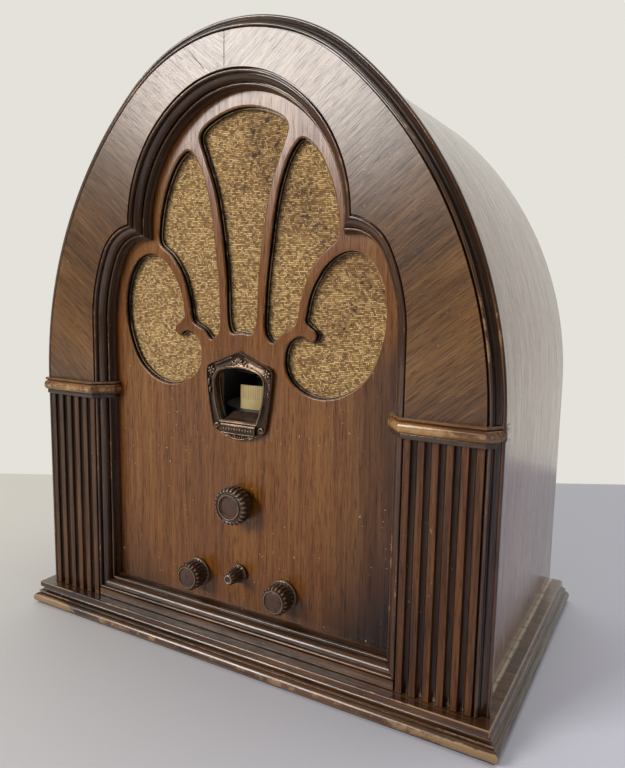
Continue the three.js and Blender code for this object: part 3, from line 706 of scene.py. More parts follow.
class Wardrobe:
    """Makes each finish once, the first time that it is asked for."""

    def __init__(self) -> None:
        """Starts empty."""
        self.made: dict[str, Material] = {}

    def get(self, key: str) -> Material:
        """The material of a finish."""
        if key not in self.made:
            self.made[key] = (WOODS.get(key) or FINISHES[key]).build()
        return self.made[key]

    def dress(self, piece: Piece, key: str) -> None:
        """Gives a piece one finish all over."""
        piece.data.materials.clear()
        piece.data.materials.append(self.get(key))


WARDROBE = Wardrobe()


# ------------------------------------------------------------------ mesh tools
def deselect() -> None:
    """Leaves nothing selected."""
    bpy.ops.object.select_all(action="DESELECT")


def take(piece: Piece) -> None:
    """Selects one piece and makes it active.

    Args:
        piece: the piece.
    """
    deselect()
    piece.select_set(True)
    bpy.context.view_layer.objects.active = piece


def fresh(name: str) -> Piece:
    """The piece that has just been made, given its name."""
    bpy.context.object.name = bpy.context.object.data.name = name
    return bpy.context.object


def change(piece: Piece, kind: str, **settings: object) -> None:
    """Applies a modifier to a piece.

    Args:
        piece: the piece.
        kind: the modifier's type.
        settings: its options.
    """
    take(piece)
    modifier = piece.modifiers.new("change", kind)
    for key, value in settings.items():
        setattr(modifier, key, value)
    bpy.ops.object.modifier_apply(modifier="change")


def carve(piece: Piece, tool: Piece) -> None:
    """Cuts a tool's shape out of a piece, and throws the tool away."""
    change(piece, "BOOLEAN", object=tool, solver="EXACT")
    bpy.data.objects.remove(tool)


def smooth(piece: Piece, angle: float = 35.0) -> Piece:
    """Shades a piece smooth where its faces meet under that many degrees, and its wide faces flat.

    Args:
        piece: the piece.
        angle: the widest bend shaded smooth, in degrees.

    Returns:
        The same piece.
    """
    take(piece)
    bpy.ops.object.shade_smooth_by_angle(angle=radians(angle))
    change(piece, "WEIGHTED_NORMAL", keep_sharp=True, weight=80)
    return piece


def rub(piece: Piece, crest: Callable[[Vector], float]) -> None:
    """Marks how worn each point of a piece is, by its place in millimetres; on wood and plastic the same mark
    also paints a highlight.
    """
    marks = piece.data.attributes.new("crest", "FLOAT", "POINT")
    for mark, vertex in zip(marks.data, piece.data.vertices):
        mark.value = crest(vertex.co / MM)


def close_up(piece: Piece, cap: bool = True) -> None:
    """Merges doubled points, caps open ends and turns every face outwards.

    Args:
        piece: the piece.
        cap: closes its open ends.
    """
    take(piece)
    bpy.ops.object.mode_set(mode="EDIT")
    bpy.ops.mesh.select_all(action="SELECT")
    bpy.ops.mesh.remove_doubles(threshold=1e-6)
    if cap:
        bpy.ops.mesh.fill_holes(sides=0)
    bpy.ops.mesh.select_all(action="SELECT")
    bpy.ops.mesh.normals_make_consistent(inside=False)
    bpy.ops.object.mode_set(mode="OBJECT")


def skin(name: str, columns: int, rows: int, place: Callable[[int, int], Place],
         crest: Callable[[int, int], float] | None = None, angle: float = 35.0,
         cap: bool = True) -> Piece:
    """Wraps a flat grid into a swept or turned piece.

    Args:
        name: the piece's name.
        columns: cells along the sweep.
        rows: cells round the section.
        place: where the point at (column, row) goes, in millimetres.
        crest: how worn that point is, from -1 in a groove to 1 on a crest; on wood and plastic it also paints
            a highlight on crests, and on wood painted shade in grooves.
        angle: the widest bend shaded smooth, in degrees.
        cap: closes the open ends.

    Returns:
        The piece.
    """
    deselect()
    bpy.ops.mesh.primitive_grid_add(x_subdivisions=columns, y_subdivisions=rows, size=1.0)
    piece = fresh(name)
    crests, along, across = (piece.data.attributes.new(key, "FLOAT", "POINT")
                             for key in ("crest", "along", "across"))
    for index, vertex in enumerate(piece.data.vertices):
        row, column = divmod(index, columns + 1)
        vertex.co = Vector(place(column, row)) * MM
        if crest:
            crests.data[index].value = crest(column, row)
    vertices = piece.data.vertices
    for index, vertex in enumerate(vertices):
        row, column = divmod(index, columns + 1)
        if column:
            step = (vertices[column].co - vertices[column - 1].co).length
            along.data[index].value = along.data[index - 1].value + step
        if row:
            below = index - columns - 1
            step = (vertices[row * (columns + 1)].co - vertices[(row - 1) * (columns + 1)].co).length
            across.data[index].value = across.data[below].value + step
    close_up(piece, cap)
    return smooth(piece, angle)


def arc(centre: Flat, radius: float | Flat, start: float, end: float, steps: int,
        crest: float = 0.0) -> list[Mark]:
    """Points of an arc with a crest at its middle, between two angles in degrees.

    Args:
        centre: its centre.
        radius: its radius, or one across and one up.
        start: where it starts.
        end: where it ends.
        steps: how many pieces it has.
        crest: how worn its middle is; on wood and plastic it also paints a highlight, and below zero painted
            shade.

    Returns:
        The points.
    """
    rx, ry = radius if isinstance(radius, tuple) else (radius, radius)
    points = []
    for i in range(steps + 1):
        share = i / steps
        turn = radians(start + (end - start) * share)
        wear = crest * sin(pi * share)
        points.append((centre[0] + rx * cos(turn), centre[1] + ry * sin(turn), wear))
    return points


def lift(base: float, *marks: Sequence[float]) -> list[Mark]:
    """Profile points whose place along is measured from a base.

    Args:
        base: where they are measured from.
        marks: (radius, distance from the base) or the same with a crest.

    Returns:
        The points as (radius, place along, crest).
    """
    return [(radius, base + along, *(crest or (0.0,))) for radius, along, *crest in marks]


def turned(name: str, profile: Sequence[Mark], axis: str, centre: Place, segments: int = 64,
           angle: float = 35.0) -> Piece:
    """Turns a profile of (radius, distance along, crest) about an axis through centre.

    Args:
        name: the piece's name.
        profile: the profile.
        axis: "X", "Y" or "Z".
        centre: a point of the axis.
        segments: sides round it.
        angle: the widest bend shaded smooth, in degrees.

    Returns:
        The piece.
    """

    def place(column: int, row: int) -> Place:
        """A point of the piece.

        Args:
            column: the step along the path.
            row: the point of the section.

        Returns:
            X, Y and Z.
        """
        radius, along, _ = profile[row]
        turn = 2 * pi * (column % segments) / segments
        a, b = radius * cos(turn), radius * sin(turn)
        offset = {"Y": (a, along, b), "Z": (a, b, along), "X": (along, a, b)}[axis]
        return tuple(c + o for c, o in zip(centre, offset))

    return skin(name, segments, len(profile) - 1, place, lambda _, row: profile[row][2], angle)


def curve_through(points: Sequence[Flat], closed: bool = True, steps: int = 6) -> list[Flat]:
    """A smooth curve through a few points, which bends evenly however far apart they are.

    Args:
        points: the points that it passes through.
        closed: joins the end to the start.
        steps: pieces between two points.

    Returns:
        The curve's points, with the last one only where it isn't closed.
    """
    count = len(points)
    knots = [Vector(p) for p in points]
    curve = []
    for k in range(count if closed else count - 1):
        if closed:
            four = [knots[(k + j - 1) % count] for j in range(4)]
        else:
            four = [knots[min(max(k + j - 1, 0), count - 1)] for j in range(4)]
            if k == 0:
                four[0] = 2 * four[1] - four[2]
            if k == count - 2:
                four[3] = 2 * four[2] - four[1]
        times = [0.0]
        for a, b in zip(four, four[1:]):
            times.append(times[-1] + sqrt((b - a).length))
        for i in range(steps):
            t = times[1] + (times[2] - times[1]) * i / steps
            level = four
            for reach in (1, 2):
                spans = zip(level, level[1:], times, times[reach:])
                level = [a.lerp(b, (t - start) / (end - start)) for a, b, start, end in spans]
            curve.append(tuple(level[0].lerp(level[1], (t - times[1]) / (times[2] - times[1]))))
    return curve if closed else [*curve, tuple(points[-1])]


def mirror_points(points: Iterable[Flat]) -> list[Flat]:
    """The same outline on the other side of the middle."""
    return [(-x, z) for x, z in reversed(list(points))]


def plate(name: str, outer: Sequence[Flat], holes: Sequence[Sequence[Flat]], front: float, back: float,
          edge: float, rounds: int = 2) -> Piece:
    """Cuts an upright board from an outline in X and Z, with softened edges.

    Args:
        name: the piece's name.
        outer: the outline.
        holes: the openings' outlines.
        front: Y of the front face.
        back: Y of the back face.
        edge: radius of the softened edges, which doesn't change the outline.
        rounds: how finely those edges are rounded.

    Returns:
        The board.
    """
    curve = bpy.data.curves.new(name, "CURVE")
    curve.dimensions = "2D"
    curve.fill_mode = "BOTH"
    for outline in [outer, *holes]:
        spline = curve.splines.new("POLY")
        spline.points.add(len(outline) - 1)
        for point, (x, z) in zip(spline.points, outline):
            point.co = (x * MM, z * MM, 0, 1)
        spline.use_cyclic_u = True
    curve.extrude = ((back - front) / 2 - edge) * MM
    curve.bevel_depth = edge * MM
    curve.bevel_resolution = rounds
    curve.offset = -edge * MM
    piece = bpy.data.objects.new(name, curve)
    bpy.context.collection.objects.link(piece)
    piece.rotation_euler = (pi / 2, 0, 0)
    piece.location = (0, (front + back) / 2 * MM, 0)
    take(piece)
    bpy.ops.object.convert(target="MESH")
    bpy.ops.object.transform_apply()
    piece = bpy.context.object
    piece.data.name = name
    close_up(piece, cap=False)
    rub(piece, lambda p: 1.0 if front + edge * 0.05 < p.y < front + edge * 0.95 else 0.0)
    return smooth(piece, 30)


def joined(name: str, parts: Sequence[Piece]) -> Piece:
    """Joins loose parts into one piece.

    Args:
        name: the piece's name.
        parts: what is joined.

    Returns:
        The piece.
    """
    deselect()
    for part in parts:
        part.select_set(True)
    bpy.context.view_layer.objects.active = parts[0]
    bpy.ops.object.join()
    return fresh(name)


def board(name: str, lowest: Sequence[float], highest: Sequence[float], edge: float = 0.6,
          rounds: int = 2) -> Piece:
    """A squared board with softened arrises, between two corners.

    Args:
        name: the piece's name.
        lowest: its lowest corner.
        highest: its highest corner.
        edge: width of the softened arrises.
        rounds: how finely they are rounded.

    Returns:
        The board.
    """
    deselect()
    centre = [(a + b) / 2 * MM for a, b in zip(lowest, highest)]
    bpy.ops.mesh.primitive_cube_add(size=1.0, location=centre)
    piece = fresh(name)
    piece.scale = [(b - a) * MM for a, b in zip(lowest, highest)]
    bpy.ops.object.transform_apply()
    bpy.ops.object.mode_set(mode="EDIT")
    bpy.ops.mesh.select_all(action="SELECT")
    bpy.ops.mesh.bevel(offset=edge * MM, segments=rounds, affect="EDGES")
    bpy.ops.object.mode_set(mode="OBJECT")
    faces = [*lowest, *highest]
    rub(piece, lambda p: float(all(abs(at - face) > edge * 0.05 for at, face in zip([*p, *p], faces))))
    return smooth(piece)


def nugget(centre: Place, radii: Place, turn: float = 0.0) -> Piece:
    """A small rounded boss of an ornament, turned in the X-Z plane by that many degrees.

    Args:
        centre: its centre.
        radii: its half sizes.
        turn: how far it is turned.

    Returns:
        The boss.
    """
    deselect()
    bpy.ops.mesh.primitive_uv_sphere_add(segments=14, ring_count=8, radius=1.0,
                                         location=[c * MM for c in centre])
    piece = bpy.context.object
    piece.scale = [r * MM for r in radii]
    piece.rotation_euler = (0, -radians(turn), 0)
    bpy.ops.object.transform_apply()
    rub(piece, lambda _: 0.7)
    return smooth(piece, 60)


def strand(path: Sequence[Place], radius: float | Callable[[float], float], closed: bool = False,
           sides: int = 10, twist: float = 0.0, lobes: float = 0.0, name: str = "strand") -> Piece:
    """A round bar along a path that lies in an upright plane facing the front.

    Args:
        path: the centre line.
        radius: the bar's radius, or a function of the share of the way along.
        closed: joins the end to the start.
        sides: points round the bar.
        twist: how fast lobes run round it, in turns per millimetre.
        lobes: depth of two rope lobes, as a share of the radius.
        name: the piece's name.

    Returns:
        The bar.
    """
    points = [Vector(p) for p in path]
    count = len(points)
    columns = count if closed else count - 1
    lengths = [0.0]
    for a, b in zip(points, [*points[1:], points[0]]):
        lengths.append(lengths[-1] + (b - a).length)
    forward = Vector((0, 1, 0))

    def section(column: int, row: int) -> tuple[Vector, float]:
        """A point of the bar and how worn it is.

        Args:
            column: the step along the path.
            row: the side of the bar.

        Returns:
            The point and its crest.
        """
        k = column % count if closed else column
        before = points[(k - 1) % count] if closed or k > 0 else points[k]
        after = points[(k + 1) % count] if closed or k < count - 1 else points[k]
        tangent = (after - before).normalized()
        side = tangent.cross(forward).normalized()
        turn = 2 * pi * (row % sides) / sides
        share = lengths[column] / lengths[columns]
        size = radius(share) if callable(radius) else radius
        ridge = cos(2 * (turn + pi * twist * lengths[column]))
        size *= 1 + lobes * ridge
        offset = side * cos(turn) - forward * sin(turn)
        return points[k] + offset * size, ridge if lobes else sin(turn) * 0.8

    return skin(name, columns, sides, lambda c, r: tuple(section(c, r)[0]),
                lambda c, r: section(c, r)[1], 60)


def settle(piece: Piece, finish: str, slot: str, *nodes: str,
           body: str = ROOT) -> Piece:
    """Dresses a finished piece, rides it on its body and lets it stand for its CAD nodes.

    Args:
        piece: the piece.
        finish: its finish.
        slot: its material slot; not used.
        nodes: the CAD nodes.
        body: the body that it rides on.

    Returns:
        The same piece.
    """
    WARDROBE.dress(piece, finish)
    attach(piece, body)
    if nodes:
        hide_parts(*nodes)
    log.info("%s: %d faces on %s", piece.name, len(piece.data.polygons), body)
    return piece


# ------------------------------------------------------------------ outlines of the front
KNOB_SPOTS = {"tuning": (0.0, 122.8), "volume": (-40.5, 58.4), "tone": (40.5, 58.4), "switch": (0.0, 66.3)}
FACE_Y = low("pilaster_right").y
FLOOR_GAP = 0.3
FOOT_Z = BASE_TOP + FLOOR_GAP


@dataclass(frozen=True)
class Arch:
    """The outer line of the veneered arch: two large side arcs and a tighter crown."""

    half: float = 190.0
    spring: float = 204.8
    radius: float = 294.0
    crown: float = 324.1
    side_steps: int = 30
    crown_steps: int = 18

    def points(self, grow: float, bottom: float = FOOT_Z) -> list[Flat]:
        """From the right foot up and over to the left foot, grown outwards.

        Args:
            grow: how far outside the veneer it runs.
            bottom: Z of its feet.

        Returns:
            The line.
        """
        shift = self.radius - self.half
        rise = self.crown - self.spring
        turn = degrees(atan2(rise, shift))
        tip = self.radius - hypot(shift, rise)
        right = arc((-shift, self.spring), self.radius + grow, 0, turn, self.side_steps)
        top = arc((0, self.crown), tip + grow, turn, 90, self.crown_steps)
        side = [(self.half + grow, bottom), *[(x, z) for x, z, _ in right], *[(x, z) for x, z, _ in top[1:]]]
        return [*side, *mirror_points(side[:-1])]


@dataclass(frozen=True)
class Trefoil:
    """The edge of the opening in the arch: haunch, shoulder, cusp, flank and crown arcs."""

    half: float = 137.5
    spring: float = 257.3
    haunch: float = 126.0
    shoulder: float = 38.0
    shoulder_turn: float = 26.0
    crown: float = 349.1
    crown_radius: float = 86.1
    flank: float = 107.1
    crown_turn: float = 60.9

    def points(self, shrink: float, bottom: float = FOOT_Z) -> list[Flat]:
        """From the right foot up and over to the left foot, shrunk inwards.

        Args:
            shrink: how far inside the opening it runs.
            bottom: Z of its feet.

        Returns:
            The line.
        """
        a, b = radians(self.shoulder_turn), radians(self.crown_turn)
        haunch = Vector((self.half - self.haunch, self.spring))
        shoulder = haunch + (self.haunch - self.shoulder) * Vector((cos(a), sin(a)))
        drop = self.flank - self.crown_radius
        flank = Vector((0, self.crown)) - drop * Vector((cos(b), sin(b)))
        r1, r2 = self.shoulder - shrink, self.flank - shrink
        line = flank - shoulder
        reach = line.length
        along = (r1 * r1 - r2 * r2 + reach * reach) / (2 * reach)
        across = sqrt(r1 * r1 - along * along)
        way = line / reach
        cusp = shoulder + way * along + Vector((way.y, -way.x)) * across
        end = degrees(atan2(cusp.y - shoulder.y, cusp.x - shoulder.x))
        start = degrees(atan2(cusp.y - flank.y, cusp.x - flank.x))
        runs = [arc(tuple(haunch), self.haunch - shrink, 0, self.shoulder_turn, 12),
                arc(tuple(shoulder), r1, self.shoulder_turn, end, 14)[1:],
                arc(tuple(flank), r2, start, self.crown_turn, 16)[1:],
                arc((0, self.crown), self.crown_radius - shrink, self.crown_turn, 90, 10)[1:]]
        side = [(self.half - shrink, bottom), *[(x, z) for run in runs for x, z, _ in run]]
        return [*side, *mirror_points(side[:-1])]


ARCH = Arch()
TREFOIL = Trefoil()


def bead(centre: Flat, radius: float, crest: float = 1.0) -> list[Mark]:
    """A half-round bead across the face of a moulding, from its near side to its far side."""
    return [(x, 2 * centre[1] - y, c) for x, y, c in arc(centre, radius, 180, 0, 8, crest)]


# Mouldings: (distance from the veneer's edge, depth behind its face, crest).
EDGE_DEPTH = 16.2
EDGE_PROFILE: list[Mark] = [
    (0.3, EDGE_DEPTH, 0), (0.3, 2.6, -1), (0.8, 2.6, -1), *bead((2.0, 1.5), 1.15), (3.25, 2.8, -1),
    (3.7, 2.9, -0.4), *[(7.3 + 3.5 * cos(radians(a)), 2.9 + 3.6 * -sin(radians(a)), -0.3)
                        for a in range(180, 271, 15)][1:],
    (7.35, 7.2, -1), *bead((8.65, 6.9), 1.35), (9.9, 7.6, -0.2), (9.1, 8.6, -1), (8.4, 9.6, -1),
    (8.4, EDGE_DEPTH, -0.8)]
OPENING_PROFILE: list[Mark] = [
    (0.3, EDGE_DEPTH, 0), (0.3, 2.4, -1), (0.8, 2.4, -1), *bead((1.9, 1.4), 1.1), (3.05, 3.3, -1),
    (3.45, 3.3, -0.5), *[(3.5 + 3.9 * sin(radians(a)), 7.3 - 4.2 * cos(radians(a)),
                          0.6 * sin(radians(2 * a))) for a in range(0, 91, 15)],
    (7.45, 9.2, -1), (7.9, 9.2, -1), *bead((8.8, 9.3), 0.9), (9.75, 11.0, -1), (10.3, 12.2, -0.4),
    (11.2, 14.6, -0.2), (11.2, EDGE_DEPTH, 0)]


def swept(name: str, outline: Callable[[float], Sequence[Flat]], profile: Sequence[Mark],
          angle: float = 35.0) -> Piece:
    """Runs a moulding's section along an outline on the front.

    Args:
        name: the piece's name.
        outline: the path in X and Z for a distance from the veneer's edge.
        profile: the section as (distance, depth behind the face, crest).
        angle: the widest bend shaded smooth, in degrees.

    Returns:
        The moulding.
    """
    section = [*profile, profile[0]]
    paths = [outline(distance) for distance, _, _ in section]

    def place(column: int, row: int) -> Place:
        """A point of the section at a place along the path."""
        x, z = paths[row][column]
        return x, FACE_Y + section[row][1], z

    return skin(name, len(paths[0]) - 1, len(section) - 1, place, lambda _, row: section[row][2], angle)


def bar(name: str, path: Sequence[Callable[[float], Flat]], profile: Sequence[Mark],
        angle: float = 35.0) -> Piece:
    """Runs a section of (projection, Z, crest) along a level path of corners, mitred at each.

    Args:
        name: the piece's name.
        path: for each corner, its place in X and Y at a projection.
        profile: the section.
        angle: the widest bend shaded smooth, in degrees.

    Returns:
        The moulding.
    """
    section = [*profile, profile[0]]

    def place(column: int, row: int) -> Place:
        """A point of the section at one corner."""
        out, z, _ = section[row]
        return (*path[column](out), z)

    return skin(name, len(path) - 1, len(section) - 1, place, lambda _, row: section[row][2], angle)


# ------------------------------------------------------------------ cabinet
@dataclass
class Plinth:
    """The base: a bottom board, three mitred runs of moulding and a thin top board."""

    half_width: float = 210.0
    front: float = -131.0
    back: float = 131.0
    thickness: float = 21.4
    height: float = 15.2
    roll: float = 4.3

    def profile(self) -> list[Mark]:
        """The section of the runs as (inset from the widest line, Z, crest).

        Returns:
            The section.
        """
        roll = [(self.roll - x, z + 4.6, c) for x, z, c in arc((0, 0), self.roll, -78, 86, 12, 1.0)]
        cove = [(x, z, -0.2) for x, z, _ in arc((3.9, 13.9), 2.8, 270, 360, 6)]
        return [(self.thickness, 0, 0), (2.6, 0, 0.3), *roll, (4.2, 9.2, -1), (4.2, 9.9, -1),
                (3.5, 10.1, 0.7), (3.5, 10.9, 0.8), (3.9, 11.0, -0.6), *cove, (6.8, 14.1, 0.6),
                (6.9, self.height, 0.2), (self.thickness, self.height, 0)]

    def run(self, side: int) -> Piece:
        """One run: 0 is the front, 1 the right and -1 the left.

        Args:
            side: which run it is.

        Returns:
            The run.
        """
        if side == 0:
            steps = [share / 12 for share in range(13)]
            path = [lambda inset, t=t: ((self.half_width - inset) * (2 * t - 1), self.front + inset)
                    for t in steps]
            return bar("base_moulding_front_run", path, self.profile())
        gap = 0.25
        name = "base_moulding_right_run" if side > 0 else "base_moulding_left_run"
        path = [lambda inset, t=t: (side * (self.half_width - inset),
                                    (self.front + inset + gap) * (1 - t) + self.back * t)
                for t in (0, 0.25, 0.5, 0.75, 1)]
        return bar(name, path, self.profile())

    def build(self) -> None:
        """Makes and dresses the base."""
        for side, node, wood in ((0, "front", "base"), (1, "right", "base_side"), (-1, "left", "base_side")):
            settle(self.run(side), wood, "moulding", f"base_moulding_{node}")
        top = board("plinth_top", low("base_top_board"), high("base_top_board"), 1.0, 4)
        settle(top, "base", "moulding", "base_top_board")
        bottom = board("plinth_bottom", low("base_bottom_board"), high("base_bottom_board"), 0.5)
        settle(bottom, "bare", "bare_wood", "base_bottom_board")


@dataclass
class ArchFront:
    """The veneered arch with its edge moulding, the moulding of the opening and the sill."""

    leg_setback: float = 7.3
    split: float = 193.4
    sill_top: float = 38.3
    opening: float = 11.2

    def veneer(self) -> Piece:
        """The arched slab above the capitals and its two legs behind the pilasters.

        Returns:
            The piece.
        """
        outline = [*ARCH.points(0, self.split), *reversed(TREFOIL.points(0, self.split))]
        back = PANEL_Y - FLOOR_GAP
        arch = plate("veneered_arch", outline, [], FACE_Y, back, 0.25, 1)
        inner, outer = TREFOIL.half, ARCH.half
        legs = [board("leg", (min(side * inner, side * outer), FACE_Y + self.leg_setback, FOOT_Z),
                      (max(side * inner, side * outer), back, self.split), 0.3) for side in (1, -1)]
        return joined("veneered_arch", [arch, *legs])

    def sill(self) -> Piece:
        """The same moulding along the foot of the opening, over a flat fascia.

        Returns:
            The moulding.
        """
        base = self.sill_top - self.opening
        rise = base - FOOT_Z
        fascia = [(rise, EDGE_DEPTH), (rise, 0.9), (rise - 0.3, 0.6), (-0.1, 0.6)]
        profile = [*((-drop, depth, 0.1) for drop, depth in fascia), *OPENING_PROFILE[1:]]

        def path(distance: float) -> list[Flat]:
            """A level line, mitred to the upright mouldings."""
            half = TREFOIL.half - max(distance, 0.9) - 0.25
            return [(half * (1 - step / 10), base + distance) for step in range(21)]

        return swept("sill_run", path, profile)

    def build(self) -> None:
        """Makes and dresses the front."""
        settle(self.veneer(), "arch", "veneer", "arch_frame")
        edge = swept("arch_edge_moulding", ARCH.points, EDGE_PROFILE)
        settle(edge, "moulding", "moulding", "outer_edge_moulding")

        def opening(distance: float) -> list[Flat]:
            """The trefoil, mitred to the sill at its feet."""
            return TREFOIL.points(distance, self.sill_top - self.opening + distance)

        trefoil = swept("trefoil_moulding", opening, OPENING_PROFILE)
        settle(trefoil, "moulding", "moulding", "opening_moulding")
        settle(self.sill(), "sill", "moulding", "sill_moulding")


@dataclass
class Pilasters:
    """A fluted pilaster and its capital on either side."""

    ridges: int = 6
    depth: float = 3.4
    body: float = 7.0
    capital_bottom: float = 193.3
    capital_top: float = 207.0

    def section(self) -> list[Mark]:
        """The pilaster's section as (X, depth, crest), from its inner to its outer edge.

        Returns:
            The section.
        """
        left, right = low("pilaster_right").x, high("pilaster_right").x
        strip = (right - left) / (2 * self.ridges - 1)
        points = [(left, self.body, 0.0), (left, 0.35, 0.5)]
        for ridge in range(self.ridges):
            start = left + 2 * strip * ridge
            points += [(start + 0.3, 0, 0.9), (start + 0.9, 0, 0), (start + strip - 0.9, 0, 0),
                       (start + strip - 0.3, 0, 0.9)]
            if ridge < self.ridges - 1:
                centre = start + 1.5 * strip
                flute = arc((centre, 1.6), (strip / 2, self.depth - 1.6), 180, 0, 8)
                points += [(start + strip, 0.4, 0.3),
                           *[(x, y, -((y - 1.6) / (self.depth - 1.6)) ** 2) for x, y, _ in flute],
                           (start + 2 * strip, 0.4, 0.3)]
        return [*points, (right, 0.35, 0.5), (right, self.body, 0)]

    def pilaster(self, side: int, name: str) -> Piece:
        """One pilaster, from the base to its capital.

        Args:
            side: 1 on the right, -1 on the left.
            name: the piece's name.

        Returns:
            The pilaster.
        """
        section = self.section()
        section = [*section, section[0]]
        heights = [FOOT_Z, FOOT_Z + 1.5, FOOT_Z + 5, FOOT_Z + 40, 120, 160, self.capital_bottom - 8,
                   self.capital_bottom]

        def crest(column: int, row: int) -> float:
            """Dust gathers at the feet of the flutes."""
            worn = section[row][2]
            return worn * (1.8 if column < 2 else 0.75) if worn < 0 else worn

        return skin(name, len(heights) - 1, len(section) - 1,
                    lambda column, row: (side * section[row][0], FACE_Y + section[row][1], heights[column]),
                    crest, 30)

    def capital(self, side: int, name: str) -> Piece:
        """A half-round moulding under a square fillet, returned to the panel at both ends.

        Args:
            side: 1 on the right, -1 on the left.
            name: the piece's name.

        Returns:
            The capital.
        """
        foot, top = self.capital_bottom, self.capital_top
        neck = [(0.4, foot, 0), (2.6, foot, 0), (3.0, foot + 0.3, -1), (3.0, foot + 3.0, -1)]
        roll = arc((2.1, foot + 7.4), (3.5, 4.2), -78, 78, 12, 1.0)
        fillet = [(3.4, foot + 11.7, -1), (4.4, foot + 12.0, -0.3), (4.6, foot + 12.3, 0.1),
                  (4.6, top - 0.4, 0.7), (4.2, top, 0.3), (0.4, top, -0.6)]
        inner = TREFOIL.half - OPENING_PROFILE[-1][0]
        outer = ARCH.half + EDGE_PROFILE[-1][0] + 0.3
        near, far = TREFOIL.half + 0.1, ARCH.half - 0.8
        back = PANEL_Y - FLOOR_GAP
        mitre = tan(radians(22.5))
        path = [lambda out: (inner - 0.6 * out, back),
                lambda out: (inner - 0.6 * out, FACE_Y + near - inner - mitre * out),
                *[lambda out, t=t: ((near - mitre * out) * (1 - t) + (far + mitre * out) * t, FACE_Y - out)
                  for t in (0, 0.2, 0.4, 0.6, 0.8, 1)],
                lambda out: (outer + 0.35 * out, FACE_Y + outer - far - mitre * out),
                lambda out: (outer + 0.35 * out, back)]
        path = [lambda out, corner=corner: (side * corner(out)[0], corner(out)[1]) for corner in path]
        return bar(name, path, [*neck, *roll, *fillet])

    def build(self) -> None:
        """Makes and dresses both sides."""
        for side, end in ((1, "right"), (-1, "left")):
            for make, name, node in ((self.pilaster, "fluted_pilaster", "pilaster"),
                                     (self.capital, "capital_roll", "capital")):
                settle(make(side, f"{name}_{end}"), node, "moulding", f"{node}_{end}")


@dataclass
class Shell:
    """The bent wrap over the sides and top."""

    grow: float = 2.3
    wall: float = 6.0

    def build(self) -> None:
        """Makes and dresses the wrap."""
        start = PANEL_Y - FACE_Y
        end = high("cabinet_wrap").y - FACE_Y
        outer, inner = self.grow, self.grow - self.wall
        depths = [start + 0.4 + (end - start - 1.0) * share / 6 for share in range(7)]
        profile = [(inner, start, 0), (outer - 0.4, start, 0), *[(outer, depth, 0.0) for depth in depths],
                   (outer - 0.2, end - 0.15, 1), (outer - 0.8, end, 0.3), (inner + 0.5, end, 0),
                   (inner, end - 0.5, 0)]
        wrap = swept("side_and_top_wrap", ARCH.points, profile)
        settle(wrap, "side", "veneer", "cabinet_wrap")


# Openings of the fretwork on the right of the middle, in X and Z.
EAR = [(87.5, 311.7), (72, 304), (58.7, 284), (54.8, 268), (54.3, 263.2), (57.3, 260), (62.9, 255.6),
       (63.6, 252.2), (61.2, 249), (58.2, 249.4), (56, 251.2), (50.9, 252.4), (44.2, 249.8), (39.6, 244.5),
       (38.2, 229.5), (43.5, 219.3), (56, 211.4), (72, 209.3), (88, 214.1),
       (102.4, 225.4), (112, 244), (116.1, 267), (112.6, 291.3), (101, 308)]
LANCET = [(49.7, 387.6), (60.3, 381), (73.2, 358.4), (79.5, 332.2), (79, 320.1), (66.7, 309.6),
          (56.5, 295), (50, 276), (46.2, 260), (35.9, 253.9), (27.9, 246.8), (21.2, 251.9),
          (20.5, 277), (24.6, 317), (31.3, 355.7), (40.9, 379.5)]
FAN = [(0, 413.5), (16.5, 411), (35, 402.4), (38.6, 396.5), (34, 382), (25, 358), (18.8, 328),
       (14.6, 294), (12.3, 257), (9, 252.2), (0, 252.8)]


def circle(x: float, z: float, radius: float, steps: int = 40) -> list[Flat]:
    """A round outline."""
    return [(px, pz) for px, pz, _ in arc((x, z), radius, 0, 360, steps)[:-1]]


def mirrored_loop(points: Sequence[Flat]) -> list[Flat]:
    """A closed outline from its right half, whose ends are on the middle line."""
    return [*points, *mirror_points(points[1:-1])]


def shrunk(outline: Sequence[Flat], distance: float) -> list[Flat]:
    """A closed outline moved inwards by a distance.

    Args:
        outline: the outline.
        distance: how far.

    Returns:
        The smaller outline.
    """
    around = list(zip([outline[-1], *outline[:-1]], outline, [*outline[1:], outline[0]]))
    turn = copysign(distance, sum(a[0] * b[1] - b[0] * a[1] for a, b, _ in around))
    moved = []
    for before, at, after in around:
        along = (Vector(after) - Vector(before)).normalized() * turn
        moved.append((at[0] - along.y, at[1] + along.x))
    return moved


def window(grow: float) -> list[Flat]:
    """The dial window: an arched top, and sides that close towards the foot.

    Args:
        grow: how far outside the window it runs.

    Returns:
        The outline.
    """
    foot, side, top = 186.5 - grow, 217.5, 226.5 + grow
    narrow, wide = 15.5 + grow, 21.8 + grow

    def bend(a: Flat, b: Flat, c: Flat, steps: int) -> list[Flat]:
        """A curve from a towards b and on to c, without its end."""
        turns = [step / steps for step in range(steps)]
        return [tuple((1 - t) ** 2 * p + 2 * t * (1 - t) * q + t * t * r for p, q, r in zip(a, b, c))
                for t in turns]

    right = [(0, foot), *bend((narrow, foot), (wide, 200.5), (wide, side), 10),
             *bend((wide, side), (wide - 2, top), (0, top), 14), (0, top)]
    return mirrored_loop(right)


